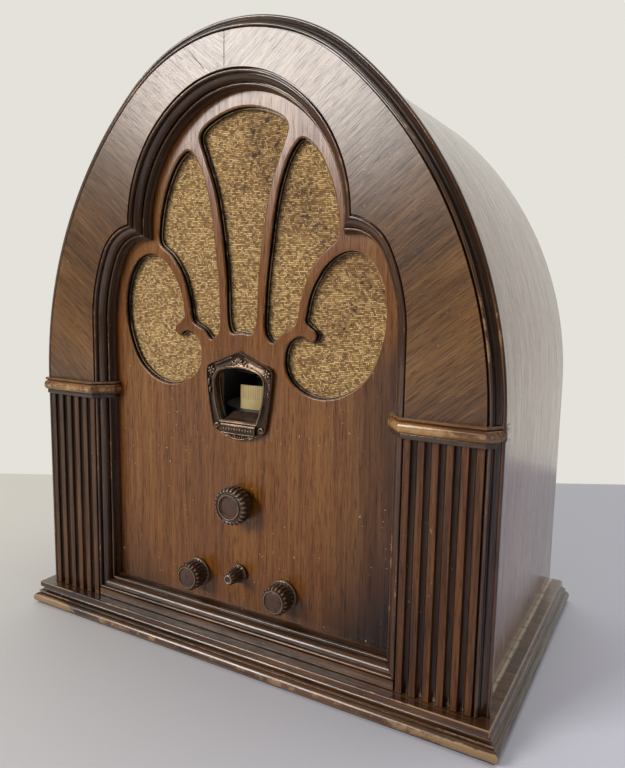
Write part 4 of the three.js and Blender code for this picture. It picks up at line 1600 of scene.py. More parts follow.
@dataclass
class SpeakerFront:
    """The fretwork panel, the cloth behind it and the baffle board."""

    setback: float = 4.1
    rounding: float = 1.2
    ledge: float = 1.3
    ledge_depth: float = 3.4
    cloth_thickness: float = 0.8
    cloth_width: float = 352.0
    cloth_foot: float = 203.0

    def panel(self) -> Piece:
        """The veneered panel with its openings, softened round every edge.

        Returns:
            The panel.
        """
        ear, lancet = curve_through(EAR), curve_through(LANCET)
        fan = curve_through(mirrored_loop(FAN))
        controls = [circle(x, z, 4.6, 24) for x, z in KNOB_SPOTS.values()]
        holes = [ear, mirror_points(ear), lancet, mirror_points(lancet), fan, window(0.6), *controls]
        front, back = low("front_panel").y, high("front_panel").y
        outline = ARCH.points(-self.setback)
        middle = front + self.ledge_depth
        face = plate("fretwork_panel", outline, holes, front, middle, self.rounding, 4)
        # The lining stands back inside the openings: its face takes the painted shade behind the front face,
        # and its rounded lip a painted highlight line from the crest mark.
        cut = [shrunk(hole, self.ledge) for hole in holes[:5]]
        lining = plate("lining", outline, [*cut, *holes[5:]], middle, back, 0.7, 3)
        return joined("fretwork_panel", [face, lining])

    def cloth(self) -> Piece:
        """A thin stretched sheet in the shape of the arch, notched round the dial.

        Returns:
            The sheet.
        """
        arch = ARCH.points(-14, self.cloth_foot)
        right = [p for p in arch if p[0] >= 0]
        columns, rows = 72, 96
        top = max(z for _, z in right)
        front = low("grille_cloth").y + 0.3

        def half(z: float) -> float:
            """Half the sheet's width at a height."""
            for (x0, z0), (x1, z1) in zip(right, right[1:]):
                if z <= z1:
                    return x0 + (x1 - x0) * (z - z0) / max(z1 - z0, 1e-6)
            return 0.0

        def place(column: int, row: int) -> Place:
            """A point of the sheet, with slight slack between its fixings.

            Args:
                column: the step across.
                row: the step up.

            Returns:
                X, Y and Z.
            """
            share = 1 - (1 - row / rows) ** 1.6
            z = self.cloth_foot + (top - self.cloth_foot) * share
            x = half(z) * (2 * column / columns - 1)
            slack = 0.14 * sin(x * 0.061 + z * 0.013) + 0.12 * sin(z * 0.083 - x * 0.02)
            return x, front + slack, z

        sheet = skin("grille_sheet", columns, rows, place, cap=False)
        change(sheet, "SOLIDIFY", thickness=self.cloth_thickness * MM, offset=0)
        carve(sheet, board("notch", (-30, PANEL_Y, self.cloth_foot - 5), (30, FACE_Y + 40, 243)))
        return sheet

    def baffle(self) -> Piece:
        """The board that carries the loudspeaker.

        Returns:
            The board.
        """
        hole = [(-29, 180), (29, 180), (29, 227), (-29, 227)]
        front, back = low("baffle_board").y, high("baffle_board").y
        outline = ARCH.points(-self.setback, 150)
        return plate("baffle", outline, [circle(0, 318, 88, 72), hole], front, back, 0.5, 1)

    def build(self) -> None:
        """Makes and dresses the panel, cloth and baffle."""
        settle(self.panel(), "panel", "panel", "front_panel")
        cloth = settle(self.cloth(), "cloth", "cloth", "grille_cloth")
        settle(self.baffle(), "bare", "bare_wood", "baffle_board")
        for end in ("right", "left"):
            node = f"chassis_rail_{end}"
            rail = board(f"rail_{end}", low(node), high(node), 0.8)
            settle(rail, "bare_deep", "bare_wood", node)


# ------------------------------------------------------------------ dial plate and knobs
@dataclass
class DialPlate:
    """The cast plate round the dial window, with its rim, rosettes, palmette and scalloped foot."""

    rim: float = 3.6
    field: float = 1.9
    plain_bar: tuple[float, float] = (175.6, 184.5)

    def outline(self) -> list[Flat]:
        """The plate's edge: a low gable over sides that close towards the foot.

        Returns:
            The outline.
        """
        right = [(0, 171.9), (5, 172.3), (9.5, 174.2), (13.5, 174.3), (17.5, 176.2), (21.2, 177.6),
                 (23.8, 180.4), (25.4, 188), (27.2, 198), (28.6, 208), (29.6, 218), (30.0, 224.4),
                 (28.6, 227.6),
                 (25.2, 229.4), (17, 232.1), (8.5, 235.9), (0, 239.2)]
        dense = []
        for a, b in zip(right, right[1:]):
            steps = max(1, round(dist(a, b) / 1.6))
            dense += [(a[0] + (b[0] - a[0]) * i / steps, a[1] + (b[1] - a[1]) * i / steps)
                      for i in range(steps)]
        return mirrored_loop([*dense, right[-1]])

    def frame(self) -> Piece:
        """The plate itself, dished from its rim towards the window.

        Returns:
            The plate.
        """
        outer = self.outline()
        centre = Vector((0, 205))
        hole = window(0)
        inner = []
        for point in outer:
            ray = Vector(point) - centre
            for a, b in zip(hole, [*hole[1:], hole[0]]):
                start, edge = Vector(a) - centre, Vector(b) - Vector(a)
                cross = ray.x * edge.y - ray.y * edge.x
                if abs(cross) < 1e-9:
                    continue
                along = (start.x * edge.y - start.y * edge.x) / cross
                share = (start.x * ray.y - start.y * ray.x) / cross
                if along > 0 and -1e-6 <= share <= 1 + 1e-6:
                    inner.append(centre + ray * along)
                    break
        section = [(0, 0, 0), (0, 2.5, 0.4), (0.015, 3.2, 0.9), (0.05, self.rim, 1), (0.09, 3.3, 0.5),
                   (0.13, 2.5, -0.8), (0.2, self.field, -0.6), (0.42, self.field - 0.3, -0.1),
                   (0.62, self.field + 0.1, 0.1), (0.78, 2.7, 0.3), (0.88, 3.3, 0.7), (0.95, 3.4, 0.9),
                   (1, 2.9, 0.3), (1, -0.6, -0.6), (0.97, -0.6, 0), (0.97, 0, 0), (0, 0, 0)]

        def place(column: int, row: int) -> Place:
            """A point between the plate's edge and the window.

            Args:
                column: the step along the path.
                row: the point of the section.

            Returns:
                X, Y and Z.
            """
            share, rise, _ = section[row]
            spot = Vector(outer[column % len(outer)]).lerp(inner[column % len(outer)], share)
            return spot.x, PANEL_Y - FLOOR_GAP - rise, spot.y

        return skin("dial_plate", len(outer), len(section) - 1, place, lambda _, row: section[row][2], 40)

    def face(self, rise: float) -> float:
        """Y at a height over the panel."""
        return PANEL_Y - FLOOR_GAP - rise

    def rosette(self, x: float, z: float, size: float) -> list[Piece]:
        """Six petals round a boss."""
        petals = [nugget((x + size * 0.62 * cos(radians(a)), self.face(2.7),
                          z + size * 0.62 * sin(radians(a))), (size * 0.42, 1.1, size * 0.27), a)
                  for a in range(20, 380, 60)]
        return [*petals, nugget((x, self.face(3.2), z), (size * 0.3, 1.0, size * 0.3))]

    def scroll(self, centre: Flat, size: float, side: int, turns: float = 1.15,
               start: float = -90.0) -> Piece:
        """A leafy scroll that winds in to its eye.

        Args:
            centre: its eye.
            size: its outer radius.
            side: 1 winds one way, -1 the other.
            turns: how often it winds round.
            start: where it starts, in degrees.

        Returns:
            The scroll.
        """
        path = []
        for i in range(26):
            share = i / 25
            turn = radians(start) + side * 2 * pi * turns * share
            reach = size * (1 - 0.82 * share)
            path.append((centre[0] + reach * cos(turn), self.face(2.5 + 0.5 * share),
                         centre[1] + reach * sin(turn)))
        return strand(path, lambda t: 0.28 + 0.5 * sin(pi * min(1.0, 0.15 + t * 0.8)), sides=8)

    def crown(self) -> list[Piece]:
        """A palmette under the gable with a scroll on either side.

        Returns:
            Its parts.
        """
        leaves = [nugget((3.0 * sin(radians(a)), self.face(2.7),
                          229.4 + 3.2 * cos(radians(a))),
                         (0.85, 1.0, 2.3 - abs(a) * 0.009), -a) for a in (-78, -46, -22, 0, 22, 46, 78)]
        scrolls = [self.scroll((side * 6.6, 229.0), 2.6, side, 1.1, 90) for side in (1, -1)]
        tails = [nugget((side * 10.6, self.face(2.4), 228.0), (2.6, 0.8, 0.7), -side * 20)
                 for side in (1, -1)]
        return [*leaves, *scrolls, *tails, nugget((0, self.face(3.0), 228.0), (1.3, 1.1, 1.1))]

    def slopes(self) -> list[Piece]:
        """Slanting reeds along both slopes of the gable.

        Returns:
            The reeds.
        """
        reeds = []
        for side in (1, -1):
            for i in range(13):
                share = i / 12
                x = 6.5 + 14.5 * share
                z = 234.4 - 5.9 * share
                reeds.append(nugget((side * x, self.face(3.3), z), (1.25, 0.55, 0.4), side * 28))
        return reeds

    def foot(self) -> list[Piece]:
        """A plain bar with a row of beads, corner scrolls and a scalloped drop.

        Returns:
            Its parts.
        """
        low_z, high_z = self.plain_bar
        middle = (low_z + high_z) / 2
        back, front = self.face(0.4), self.face(4.2)
        slab = plate("bar", [(-15.2, low_z + 0.4), (15.2, low_z + 0.4), (15.8, high_z - 0.6),
                             (-15.8, high_z - 0.6)], [], front, back, 0.5, 2)
        frame = [(-14.6, low_z + 1.3), (14.6, low_z + 1.3), (15.1, high_z - 1.5), (-15.1, high_z - 1.5)]
        rim = strand([(x, self.face(4.2), z) for a, b in zip(frame, [*frame[1:], frame[0]])
                      for x, z in [a, ((a[0] * 2 + b[0]) / 3, (a[1] * 2 + b[1]) / 3),
                                   ((a[0] + b[0] * 2) / 3, (a[1] + b[1] * 2) / 3)]],
                     0.5, closed=True, sides=8)
        beads = [nugget((x * 2.5, self.face(4.2), middle), (0.95, 0.8, 1.35 if x % 2 else 0.95))
                 for x in range(-5, 6)]
        corners = [self.scroll((side * 20.4, 181.0), 2.5, -side, 1.2, 200 if side > 0 else -20)
                   for side in (1, -1)]
        drops = []
        for side in (1, -1):
            drops += [self.scroll((side * 4.6, 174.2), 1.9, side, 1.0, 60 if side > 0 else 120),
                      self.scroll((side * 10.4, 175.0), 1.8, -side, 1.0, 60 if side > 0 else 120),
                      nugget((side * 15.6, self.face(2.6), 176.4), (1.9, 1.0, 0.8), -side * 20)]
        shell = [nugget((1.5 * i, self.face(3.0), 173.6 + 0.25 * abs(i)), (0.6, 1.0, 1.5), -14 * i)
                 for i in (-1, 0, 1)]
        return [slab, rim, *beads, *corners, *drops, *shell]

    def ledge(self) -> Piece:
        """A sloping shelf behind the foot of the window, worn bright along its lip.

        Returns:
            The shelf.
        """
        section = [(2.2, 185.2, 0.9), (2.4, 185.8, 1), (1.6, 186.4, 0.9), (-3.0, 188.6, 0.2),
                   (-8.9, 191.9, 0),
                   (-8.9, 191.0, 0), (-3.0, 187.2, 0), (0.6, 185.4, 0), (2.2, 185.2, 0.9)]
        spans = [-13.9, -13.6, -7, 0, 7, 13.6, 13.9]

        def place(column: int, row: int) -> Place:
            """A point of the shelf, which narrows a little towards the back."""
            rise, z, _ = section[row]
            return spans[column] * (1 + rise * 0.008), self.face(rise), z

        return skin("ledge", len(spans) - 1, len(section) - 1, place, lambda _, row: section[row][2], 40)

    def build(self) -> None:
        """Makes and dresses the plate."""
        edge = [(x, self.face(3.5), z) for x, z in window(1.3)]
        lip = strand(edge, 0.62, closed=True, sides=8)
        parts = [self.frame(), lip, *self.rosette(25.0, 223.6, 3.6), *self.rosette(-25.0, 223.6, 3.6),
                 *self.crown(), *self.slopes(), *self.foot(), self.ledge()]
        for side in (1, -1):
            parts += [nugget((side * 27.6, self.face(2.7), 214.6), (0.8, 0.9, 3.0), side * 5),
                      nugget((side * 26.6, self.face(2.7), 208.6), (0.7, 0.8, 2.2), side * 6)]
        settle(joined("dial_escutcheon", parts), "bronze", "bronze", "escutcheon")


@dataclass
class Knob:
    """A moulded knob with rounded teeth round its rim and a coloured middle."""

    control: str
    teeth: int
    tooth: float
    profile: list[Mark]
    inlay: list[Mark]
    toothed: float
    slot: str = "bakelite"
    per_tooth: int = 6

    def build(self, body: str) -> None:
        """Makes the knob and its inlay, and dresses them.

        Args:
            body: the moving body that they ride on.
        """
        x, z = KNOB_SPOTS[self.control]
        columns = self.teeth * self.per_tooth
        marks = self.profile
        back = marks[-2][1]

        def tooth(column: int, row: int) -> float:
            """How far into a gap between two teeth a point is, from 0 to 1.

            Args:
                column: the step round the knob.
                row: the point of the profile.

            Returns:
                The share.
            """
            radius, along, _ = marks[row]
            if radius < self.toothed or along > back - 2.5:
                return 0.0
            fade = min(1.0, (radius - self.toothed) / 0.8 + 0.3)
            return fade * (1 - abs(sin(pi * column / self.per_tooth)) ** 0.6)

        def place(column: int, row: int) -> Place:
            """A point of the knob.

            Args:
                column: the step round the knob.
                row: the point of the profile.

            Returns:
                X, Y and Z.
            """
            radius, along, _ = marks[row]
            gap = tooth(column % columns, row)
            radius -= gap * self.tooth
            turn = 2 * pi * (column % columns) / columns
            return x + radius * cos(turn), along + gap * 0.25, z + radius * sin(turn)

        def crest(column: int, row: int) -> float:
            """Worn teeth with a painted highlight, and dusty gaps."""
            gap = tooth(column % columns, row)
            return marks[row][2] * (1 - gap) - gap

        knob = skin(f"{self.control}_knob_moulded", columns, len(marks) - 1, place, crest, 40)
        settle(knob, "bakelite", self.slot, f"{self.control}_knob", body=body)
        middle = turned(f"{self.control}_knob_middle", self.inlay, "Y", (x, 0, z), 48)
        settle(middle, "bakelite_red", self.slot, body=body)


def knobs() -> list[tuple[Knob, str]]:
    """The four knobs with the bodies that they ride on.

    Returns:
        Each knob and its body.
    """
    front, back = low("tuning_knob").y, high("tuning_knob").y
    tuning = [*lift(front, (0, 2.0), (7.5, 2.0), (7.9, 2.1, -1), (8.3, 1.2, -0.5), (8.8, 0.3, 0.8),
                    (9.3, 0, 1), (9.9, 0.4, 0.6), (10.3, 1.5, -1), (10.8, 1.6, -0.6), (11.5, 0.9, 0.5),
                    (12.3, 0.8, 0.8), (13.3, 1.3, 1), (14.1, 2.4, 0.9), (14.55, 3.8, 0.7), (14.6, 6.0, 0.3)),
              *lift(back, (14.5, -4.6, 0.2), (14.0, -3.4, 0.4), (12.2, -2.8, -0.6), (11.0, -2.4, -1),
                    (10.9, -0.2), (10.6, 0), (0, 0))]
    tuning_inlay = lift(front, (0, 1.45), (4, 1.5), (6.6, 1.7, 0.2), (7.3, 1.9), (7.5, 2.3), (0, 2.3))
    lower = [*lift(front, (0, 0.9), (6.9, 0.9), (7.2, 1.0, -1), (7.5, 0.4), (8.0, 0, 0.9), (8.6, 0.2, 0.7),
                   (8.9, 0.9, -0.6), (9.3, 0.8), (9.9, 1.1, 0.9), (10.6, 2.1, 1), (10.95, 3.4, 0.6),
                   (11.0, 5.5, 0.2)),
             *lift(back, (10.9, -5.0, 0.1), (10.4, -4.2, 0.3), (9.6, -3.8, -1), (9.9, -2.6, -0.8),
                   (11.1, -2.3, 0.6), (11.55, -1.8, 1), (11.6, -0.3, 0.6), (11.3, 0), (0, 0))]
    lower_inlay = lift(front, (0, 0.35), (4.6, 0.4), (6.2, 0.55, 0.2), (6.8, 0.8), (6.9, 1.2), (0, 1.2))
    tip, seat = low("switch_knob").y, high("switch_knob").y
    small = [*lift(tip, (0, 0.5), (2.0, 0.5), (2.4, 0.1, 0.8), (3.0, 0, 1), (3.5, 0.3, 0.8), (3.7, 1.0, -0.6),
                   (4.3, 1.3, 0.8), (4.7, 2.0, 0.9), (5.2, 6.0, 0.5)),
             *lift(seat, (5.9, -4.0, 0.3), (6.0, -3.2, -0.8), (6.6, -2.7, 0.4), (7.1, -2.2, 0.9),
                   (7.2, -1.4, 0.7), (7.2, -0.2), (7.0, 0), (0, 0))]
    small_inlay = lift(tip, (0, 0.7), (1.4, 0.45), (1.8, 0.3), (2.1, 0.8), (0, 0.8))
    return [(Knob("tuning", 24, 1.15, tuning, tuning_inlay, 11.9), "tuning_control"),
            (Knob("volume", 20, 0.95, lower, lower_inlay, 9.5), "volume_dial"),
            (Knob("tone", 20, 0.95, lower, lower_inlay, 9.5), "tone_dial"),
            (Knob("switch", 12, 0.7, small, small_inlay, 4.0), "switch_dial")]


# ------------------------------------------------------------------ inside the case
@dataclass
class Tuner:
    """The dial drum with its printed band, and a black strip under the lamp shade."""

    axis_y: float = -47.0
    shade_foot: float = 187.9

    def wall(self, name: str, inner: float, outer: float, foot: float, top: float,
             start: float = -102.0, end: float = 102.0) -> Piece:
        """A curved upright strip round the drum's axis, with its flat coordinates along and up.

        Args:
            name: its name.
            inner: its inner radius.
            outer: its outer radius.
            foot: Z of its lower edge.
            top: Z of its upper edge.
            start: where it starts round the axis, in degrees from +X.
            end: where it ends.

        Returns:
            The strip.
        """
        corners = [(outer, foot), (outer, top), (inner, top), (inner, foot), (outer, foot)]
        steps = 68

        def place(column: int, row: int) -> Place:
            """A point of the strip.

            Args:
                column: the step along the path.
                row: the point of the section.

            Returns:
                X, Y and Z.
            """
            turn = radians(start + (end - start) * column / steps)
            radius, z = corners[row]
            return radius * cos(turn), self.axis_y + radius * sin(turn), z

        return skin(name, steps, 4, place)

    def build(self) -> None:
        """Makes and dresses the drum, its band and a black strip under the lamp shade."""
        drum_low, drum_high = low("dial_drum"), high("dial_drum")
        radius = high("dial_scale").x
        foot = drum_low.z
        outline = lift(foot, (3.3, 0), (radius - 1.0, 0), (radius - 0.7, 0.3, 1), (radius - 0.7, 1.7, 1),
                       (radius - 1.0, 2), (8, 2, -0.5), (8, 5.7, 0.8), (7.7, 6, 0.5), (3.3, 6), (3.3, 0))
        disc = turned("disc", outline, "Z", (0, self.axis_y, 0), 96)
        rim = self.wall("rim", radius - 2.4, radius - 1.0, foot + 1.8, drum_high.z)
        drum = joined("dial_drum_turned", [disc, rim])
        settle(drum, "drum_grey", "black_enamel", "dial_drum", body="tuner")
        band_low, band_high = low("dial_scale").z, high("dial_scale").z
        band = self.wall("dial_band", radius - 0.6, radius, band_low, band_high)
        settle(band, "scale", "scale_paper", "dial_scale", body="tuner")
        # Painted shade: a black strip with no CAD part under the lamp shade, only there to darken the view
        # through the dial window into the open back.
        shade = low("lamp_bracket").x
        dark_filler_skirt = self.wall("lamp_shade_skirt", -shade - 1.0, -shade, 150, self.shade_foot, 135, 229)
        settle(dark_filler_skirt, "shade", "black_enamel")


def stand(node: str) -> tuple[float, float, float, float, float]:
    """Where an upright round part stands.

    Args:
        node: its CAD node.

    Returns:
        X and Y of its axis, its radius, and Z of its foot and of its top.
    """
    first, last = low(node), high(node)
    return (first.x + last.x) / 2, (first.y + last.y) / 2, (last.x - first.x) / 2, first.z, last.z


@dataclass
class Valves:
    """Glass valves on moulded bases, and screened ones in spun cans."""

    sides: int = 56
    bulb_top: float = 69.6

    def bulb(self, name: str) -> Piece:
        """A shouldered bulb with a rounded top.

        Args:
            name: its CAD node.

        Returns:
            The bulb.
        """
        x, y, _, foot, _ = stand(name)
        waist = [(13.4, 0.3), (13.6, 3), (14.5, 9), (17.5, 17), (21, 25.5), (23.1, 35), (23.3, 41),
                 (22.4, 49), (19.5, 57), (15.2, 63), (10.0, 66.6), (5.0, 68.6)]
        curve = curve_through([(radius, foot + rise) for radius, rise in waist], closed=False, steps=4)
        profile = [(0, foot, 0), *[(r, h, 0.0) for r, h in curve], (0, foot + self.bulb_top, 0)]
        return turned(f"{name}_blown", profile, "Z", (x, y, 0), self.sides, 60)

    def base(self, name: str) -> Piece:
        """A moulded base with a flared foot and a grip ring.

        Args:
            name: its CAD node.

        Returns:
            The base.
        """
        x, y, _, foot, top = stand(name)
        profile = [*lift(foot, (0, 0), (16.6, 0), (17, 0.4, 1), (17, 4.4, 1), (16.6, 5, 0.6), (15, 5.4, -1),
                         (14.8, 16), (15, 16.4, 0.8), (15, 18.4, 0.8), (14.6, 18.8, -0.6), (14.6, 23.4)),
                   (14.0, top, 0.6), (0, top, 0)]
        return turned(f"{name}_moulded", profile, "Z", (x, y, 0), 48)

    def screen(self, name: str) -> Piece:
        """A spun screening can with a beaded foot and a stepped cap.

        Args:
            name: its CAD node.

        Returns:
            The can.
        """
        x, y, _, foot, top = stand(name)
        profile = [*lift(foot, (0, 0), (19, 0), (19, 1.2, 1), (18.2, 1.8, -1), (18.2, 8), (18.9, 8.8, 1),
                         (18.2, 9.6, -0.6), (18.2, 52), (18.9, 53, 1), (18.9, 60, 0.6), (18.2, 63, 0.8),
                         (14.2, 72.5), (13, 74, -0.8), (13, 90.5), (12.4, 92, 1), (8, 93.6),
                         (7.2, 94.2, -0.6), (7, 95.6, 0.8)),
                   (6.4, top, 0.6), (0, top, 0)]
        return turned(f"{name}_spun", profile, "Z", (x, y, 0), self.sides)

    def can(self, name: str) -> Piece:
        """A drawn can with a rolled foot and a domed top.

        Args:
            name: its CAD node.

        Returns:
            The can.
        """
        x, y, radius, foot, top = stand(name)
        radius -= 0.02
        profile = [*lift(foot, (0, 0), (radius, 0), (radius, 1.4, 1), (radius - 0.7, 2.0, -1)),
                   *lift(top, (radius - 0.7, -7), (radius - 0.1, -6.2, 1), (radius - 0.7, -5.4, -0.6),
                         (radius - 0.8, -3.4, 0.6), (radius - 2.2, -1.1, 1), (radius - 4, -0.4), (4.4, -0.5),
                         (4.0, 0, 0.8), (0, 0))]
        return turned(f"{name}_drawn", profile, "Z", (x, y, 0), self.sides)

    def build(self) -> None:
        """Makes and dresses them all."""
        for valve in ("output_valve_left", "output_valve_right", "rectifier_valve"):
            settle(self.bulb(f"{valve}_bulb"), "glass", "glass", f"{valve}_bulb")
            settle(self.base(f"{valve}_base"), "bakelite", "bakelite", f"{valve}_base")
        for number in (1, 2, 3):
            settle(self.screen(f"valve_shield_{number}"), "spun", "spun_metal", f"valve_shield_{number}")
        for name in ("coil_can", "filter_can"):
            settle(self.can(name), "spun", "spun_metal", name)


@dataclass
class ChassisDeck:
    """The chassis's two transformers and the cans of the panel controls."""

    sheets: int = 10
    pitch: float = 2.2

    def transformer(self) -> Piece:
        """A stack of laminations between two drawn covers.

        Returns:
            The transformer.
        """
        corner, top = low("power_transformer"), high("power_transformer")
        z = corner.z
        lower = board("cover", (80, 20, z), (140, 78, z + 22.4), 3.2, 5)
        upper = board("cover", (80, 20, z + 43.6), (140, 78, top.z), 4.5, 6)
        sheets = []
        for i in range(self.sheets):
            inset = 0.4 * (i % 2)
            sheets.append(board("lamination", (corner.x + inset, corner.y + inset, z + 22 + i * self.pitch),
                                (top.x - inset, top.y - inset, z + 23.9 + i * self.pitch), 0.25, 1))
        core = board("core", (corner.x + 1, corner.y + 1, z + 22), (top.x - 1, top.y - 1, z + 43.9), 0.3, 1)
        bolt = lift(z, (0, 43.8), (3.4, 43.8), (3.4, 46.0, 1), (2.8, 46.6, 0.6), (0, 46.6))
        bolts = [turned("bolt", bolt, "Z", (x, y, 0), 6, 20)
                 for x in (corner.x + 4.4, top.x - 4.4) for y in (corner.y + 4.4, top.y - 4.4)]
        return joined("mains_transformer", [core, lower, upper, *sheets, *bolts])

    def output(self) -> Piece:
        """The small transformer on the loudspeaker.

        Returns:
            The transformer.
        """
        corner, top = low("output_transformer"), high("output_transformer")
        core = board("core", (corner.x, corner.y + 6, corner.z), (top.x, top.y - 6, top.z), 0.8, 2)
        winding = board("winding", (-20, corner.y, corner.z + 6), (20, top.y, top.z - 6), 4.5, 6)
        return joined("output_transformer_wound", [core, winding])

    def control(self, node: str) -> Piece:
        """The can of a panel control with a rolled edge and its bush.

        Args:
            node: its CAD node.

        Returns:
            The can.
        """
        corner, top = low(node), high(node)
        x, z = (corner.x + top.x) / 2, (corner.z + top.z) / 2
        radius = (top.x - corner.x) / 2 - 0.02
        face = top.y - 16
        profile = [*lift(corner.y, (0, 0), (5.2, 0), (5.6, 0.4, 1)), (5.6, face, -0.6),
                   (radius - 1.2, face, 0), (radius, face + 1.2, 1),
                   *lift(top.y, (radius, -3), (radius - 0.6, -2.4, -1), (radius - 0.4, -0.6, 0.8),
                         (radius - 1.0, 0, 0.6), (0, 0))]
        return turned(f"{node}_can", profile, "Y", (x, 0, z), 40)

    def build(self) -> None:
        """Makes and dresses the chassis's large parts."""
        settle(self.transformer(), "enamel", "black_enamel", "power_transformer")
        settle(self.output(), "enamel", "black_enamel", "output_transformer")
        for node in ("volume_control", "tone_switch", "power_switch"):
            settle(self.control(node), "enamel", "black_enamel", node)


@dataclass
class Loudspeaker:
    """The open basket, ribbed cone and field coil."""

    axis_z: float = 318.0

    def basket(self) -> Piece:
        """A drawn basket with six windows, cut from a turned shell.

        Returns:
            The basket.
        """
        y = low("speaker_basket").y
        shell = lift(y, (89, 0), (97.6, 0), (98, 0.4, 1), (98, 1.6, 1), (97.6, 2), (93.5, 2.4, -1),
                     (92, 3.2, 0.6), (80, 12.8), (62, 27.8), (44, 42.8), (40.6, 45.8, 0.6), (40, 48, 0.8),
                     (20, 48), (20, 46), (37, 46), (38.6, 44.6), (60, 26.6), (88, 4), (89, 0))
        basket = turned("speaker_basket_drawn", shell, "Y", (0, 0, self.axis_z), 96)
        cutters = []
        for number in range(6):
            turn = (number + 0.5) * pi / 3
            tool = board("cutter", (-19, y + 10, self.axis_z + 36), (19, y + 38, self.axis_z + 100), 4, 4)
            tool.data.transform(Matrix.Translation((0, 0, self.axis_z * MM))
                                @ Matrix.Rotation(turn, 4, "Y")
                                @ Matrix.Translation((0, 0, -self.axis_z * MM)))
            cutters.append(tool)
        carve(basket, joined("cutters", cutters))
        return smooth(basket, 30)

    def cone(self) -> Piece:
        """A paper cone with a rolled surround and a dust cap.

        Returns:
            The cone.
        """
        y = low("speaker_cone").y - 1
        profile = lift(y, (0, 33.5), (6, 33.9), (11, 35.4), (14.4, 37.6, -0.6), (15.4, 38.2, -1), (40, 24.4),
                       (64, 11.4), (78, 3.6, 0.3), (80, 2.2, -0.4), (82, 1.4, 0.8), (84, 2.2, -0.4),
                       (86, 1.2, 0.8), (88, 1.2), (88, 2), (86, 2.2), (84, 3.2), (82, 2.4), (80, 3.4),
                       (64, 12.8), (40, 25.8), (15.4, 39.8), (13, 43.8), (0, 44))
        return turned("speaker_cone_pressed", profile, "Y", (0, 0, self.axis_z), 96)

    def coil(self) -> Piece:
        """The field coil between its two cheeks.

        Returns:
            The coil.
        """
        y = low("field_coil").y
        top = high("field_coil").y
        wires = []
        for turn in range(19):
            wires += [(33.2, y + 5.4 + turn * 1.95, -0.4), (33.8, y + 6.3 + turn * 1.95, 0.4)]
        profile = [*lift(y, (0, 0), (37.6, 0), (38, 0.4, 1), (38, 4.6, 1), (37.6, 5)), *wires,
                   *lift(top, (37.6, -5), (38, -4.6, 1), (38, -0.5, 1), (37.4, 0, 0.5), (9, 0),
                         (8.6, -1.2, -1), (0, -1.2))]
        return turned("field_coil_wound", profile, "Y", (0, 0, self.axis_z), 64)

    def build(self) -> None:
        """Makes and dresses the loudspeaker."""
        settle(self.basket(), "enamel", "black_enamel", "speaker_basket")
        settle(self.cone(), "pulp", "cone_paper", "speaker_cone")
        settle(self.coil(), "enamel", "black_enamel", "field_coil")


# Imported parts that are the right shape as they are, and their finish.
AS_PACKED = {
    "chassis": "chassis_plate", "cord_grommet": "rubber", "condenser_frame": "steel",
    "condenser_shaft": "steel", "tuning_bracket": "steel", "lamp_bracket": "shade",
    "rotor_vanes": "spun", "stator_vanes": "spun",
    "drive_disc": "brass", "drive_roller": "rubber", "tuning_shaft": "brass", "volume_shaft": "brass",
    "tone_shaft": "brass", "switch_shaft": "brass", "dial_lamp": "lamp"}


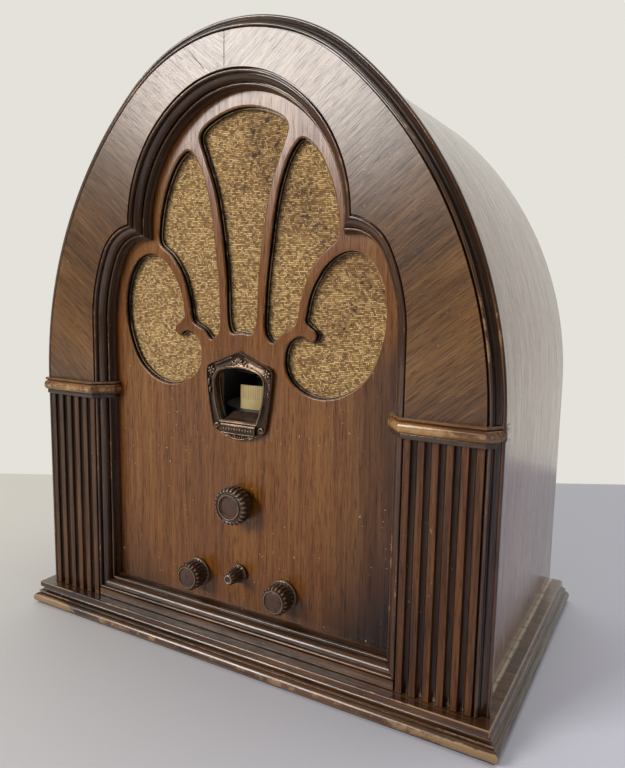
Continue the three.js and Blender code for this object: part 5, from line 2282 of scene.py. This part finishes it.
# ------------------------------------------------------------------ studio
@dataclass
class Studio:
    """The table, the light and the camera."""

    eye: Place = (0.2915, -0.5108, 0.2841)
    azimuth: float = 29.48
    elevation: float = 7.54
    roll: float = 1.01
    lens: float = 31.415
    floor_distance: float = 0.997

    def camera(self) -> None:
        """Sets the camera."""
        a, e, r = (radians(v) for v in (self.azimuth, self.elevation, self.roll))
        back = Vector((sin(a) * cos(e), -cos(a) * cos(e), sin(e)))
        side = Vector((0, 0, 1)).cross(back).normalized()
        rise = back.cross(side)
        right = side * cos(r) + rise * sin(r)
        above = -side * sin(r) + rise * cos(r)
        data = bpy.data.cameras.new("camera")
        data.lens = self.lens
        data.sensor_width = 36.0
        data.shift_x = 0.0002
        data.shift_y = -0.0048
        data.clip_start = 0.02
        camera = bpy.data.objects.new("camera", data)
        bpy.context.scene.collection.objects.link(camera)
        camera.matrix_world = Matrix((
            (right.x, above.x, back.x, self.eye[0]), (right.y, above.y, back.y, self.eye[1]),
            (right.z, above.z, back.z, self.eye[2]), (0, 0, 0, 1)))
        bpy.context.scene.camera = camera

    def floor(self) -> None:
        """A pale grey table that ends behind the set."""
        a = radians(self.azimuth)
        toward = Vector((sin(a), -cos(a), 0))
        across = Vector((cos(a), sin(a), 0))
        edge = Vector((self.eye[0], self.eye[1], 0)) - toward * self.floor_distance
        deselect()
        bpy.ops.mesh.primitive_grid_add(x_subdivisions=24, y_subdivisions=24, size=1.0)
        floor = bpy.context.object
        floor.name = floor.data.name = "table"
        for vertex in floor.data.vertices:
            x, y, _ = vertex.co
            vertex.co = edge + across * (x * 5) + toward * ((0.5 - y) * 3.2) + Vector((0, 0, -0.0003))
        close_up(floor, cap=False)
        floor.data.materials.append(self.cover())

    @staticmethod
    def cover() -> Material:
        """Faintly textured grey cloth, with painted light: warmer on the left and bluer on the right.

        Returns:
            The material.
        """
        g = Graph("table_cover")
        point = g.point()
        cloud = g.noise(point, 6.0, 3.0)
        weave = g.noise(point, 900.0, 2.0)
        x, _, _ = g.parts(point)
        # Painted light: the cloth is tinted warm on the left, towards the window light, and bluish on the
        # right.
        painted_light_tint = (x + cloud * 0.1).span(-0.55, 0.65)
        colour = g.mix(painted_light_tint, rgb("c8c5bd"), rgb("c6c7d8"))
        return g.finish(Base_Color=colour, Roughness=0.75, Normal=g.bump(weave, 0.00008))

    @staticmethod
    def lamp(name: str, place: Place, aim: Place, size: Flat, power: float, colour: Place) -> None:
        """A large soft light.

        Args:
            name: its name.
            place: where it hangs, in metres.
            aim: what it points at.
            size: its width and height.
            power: its power in watts.
            colour: its colour.
        """
        data = bpy.data.lights.new(name, "AREA")
        data.shape = "RECTANGLE"
        data.size, data.size_y = size
        data.energy = power
        data.color = colour
        light = bpy.data.objects.new(name, data)
        bpy.context.scene.collection.objects.link(light)
        light.location = place
        light.rotation_euler = (Vector(aim) - Vector(place)).to_track_quat("-Z", "Y").to_euler()

    @staticmethod
    def room() -> None:
        """A pale wall behind the set and a dimmer room in front of it."""
        world = bpy.data.worlds.new("room")
        bpy.context.scene.world = world
        world.use_nodes = True
        tree = world.node_tree
        way, split, ramp, shift = (tree.nodes.new(f"ShaderNode{kind}") for kind in (
            "TexCoord", "SeparateXYZ", "ValToRGB", "MapRange"))
        tree.links.new(way.outputs["Generated"], split.inputs[0])
        tree.links.new(split.outputs["Y"], shift.inputs["Value"])
        shift.inputs["From Min"].default_value = -1.0
        tree.links.new(shift.outputs[0], ramp.inputs[0])
        Graph.set_stops(ramp.color_ramp, [(0.0, rgb("575551")), (0.45, rgb("85837f")), (0.62, rgb("e4e2da"))])
        tree.links.new(ramp.outputs[0], tree.nodes["Background"].inputs["Color"])

    def build(self) -> None:
        """Sets up the stage."""
        self.camera()
        self.floor()
        self.lamp("window_light", (-1.6, -2.61, 1.55), (0, 0, 0.3), (1.5, 1.15), 100, (1.0, 0.98, 0.95))
        self.lamp("ceiling_light", (0.6, 0.4, 3.0), (0, 0, 0), (3.0, 3.0), 30, (0.95, 0.97, 1.0))
        self.room()
        bpy.context.scene.view_settings.view_transform = "Standard"


def main() -> None:
    """Builds the radio, dresses what is kept of the CAD and sets the stage."""
    logging.basicConfig(level=logging.INFO, format="%(message)s")
    Studio().build()
    for part in (Plinth(), ArchFront(), Pilasters(), Shell(), SpeakerFront(), DialPlate()):
        part.build()
    for knob, body in knobs():
        knob.build(body)
    for part in (Tuner(), Valves(), ChassisDeck(), Loudspeaker()):
        part.build()
    for node, finish in AS_PACKED.items():
        WARDROBE.dress(frame["nodes"][node], finish)
        log.info("%s: dressed as packed", node)


if __name__ == "__main__":
    main()
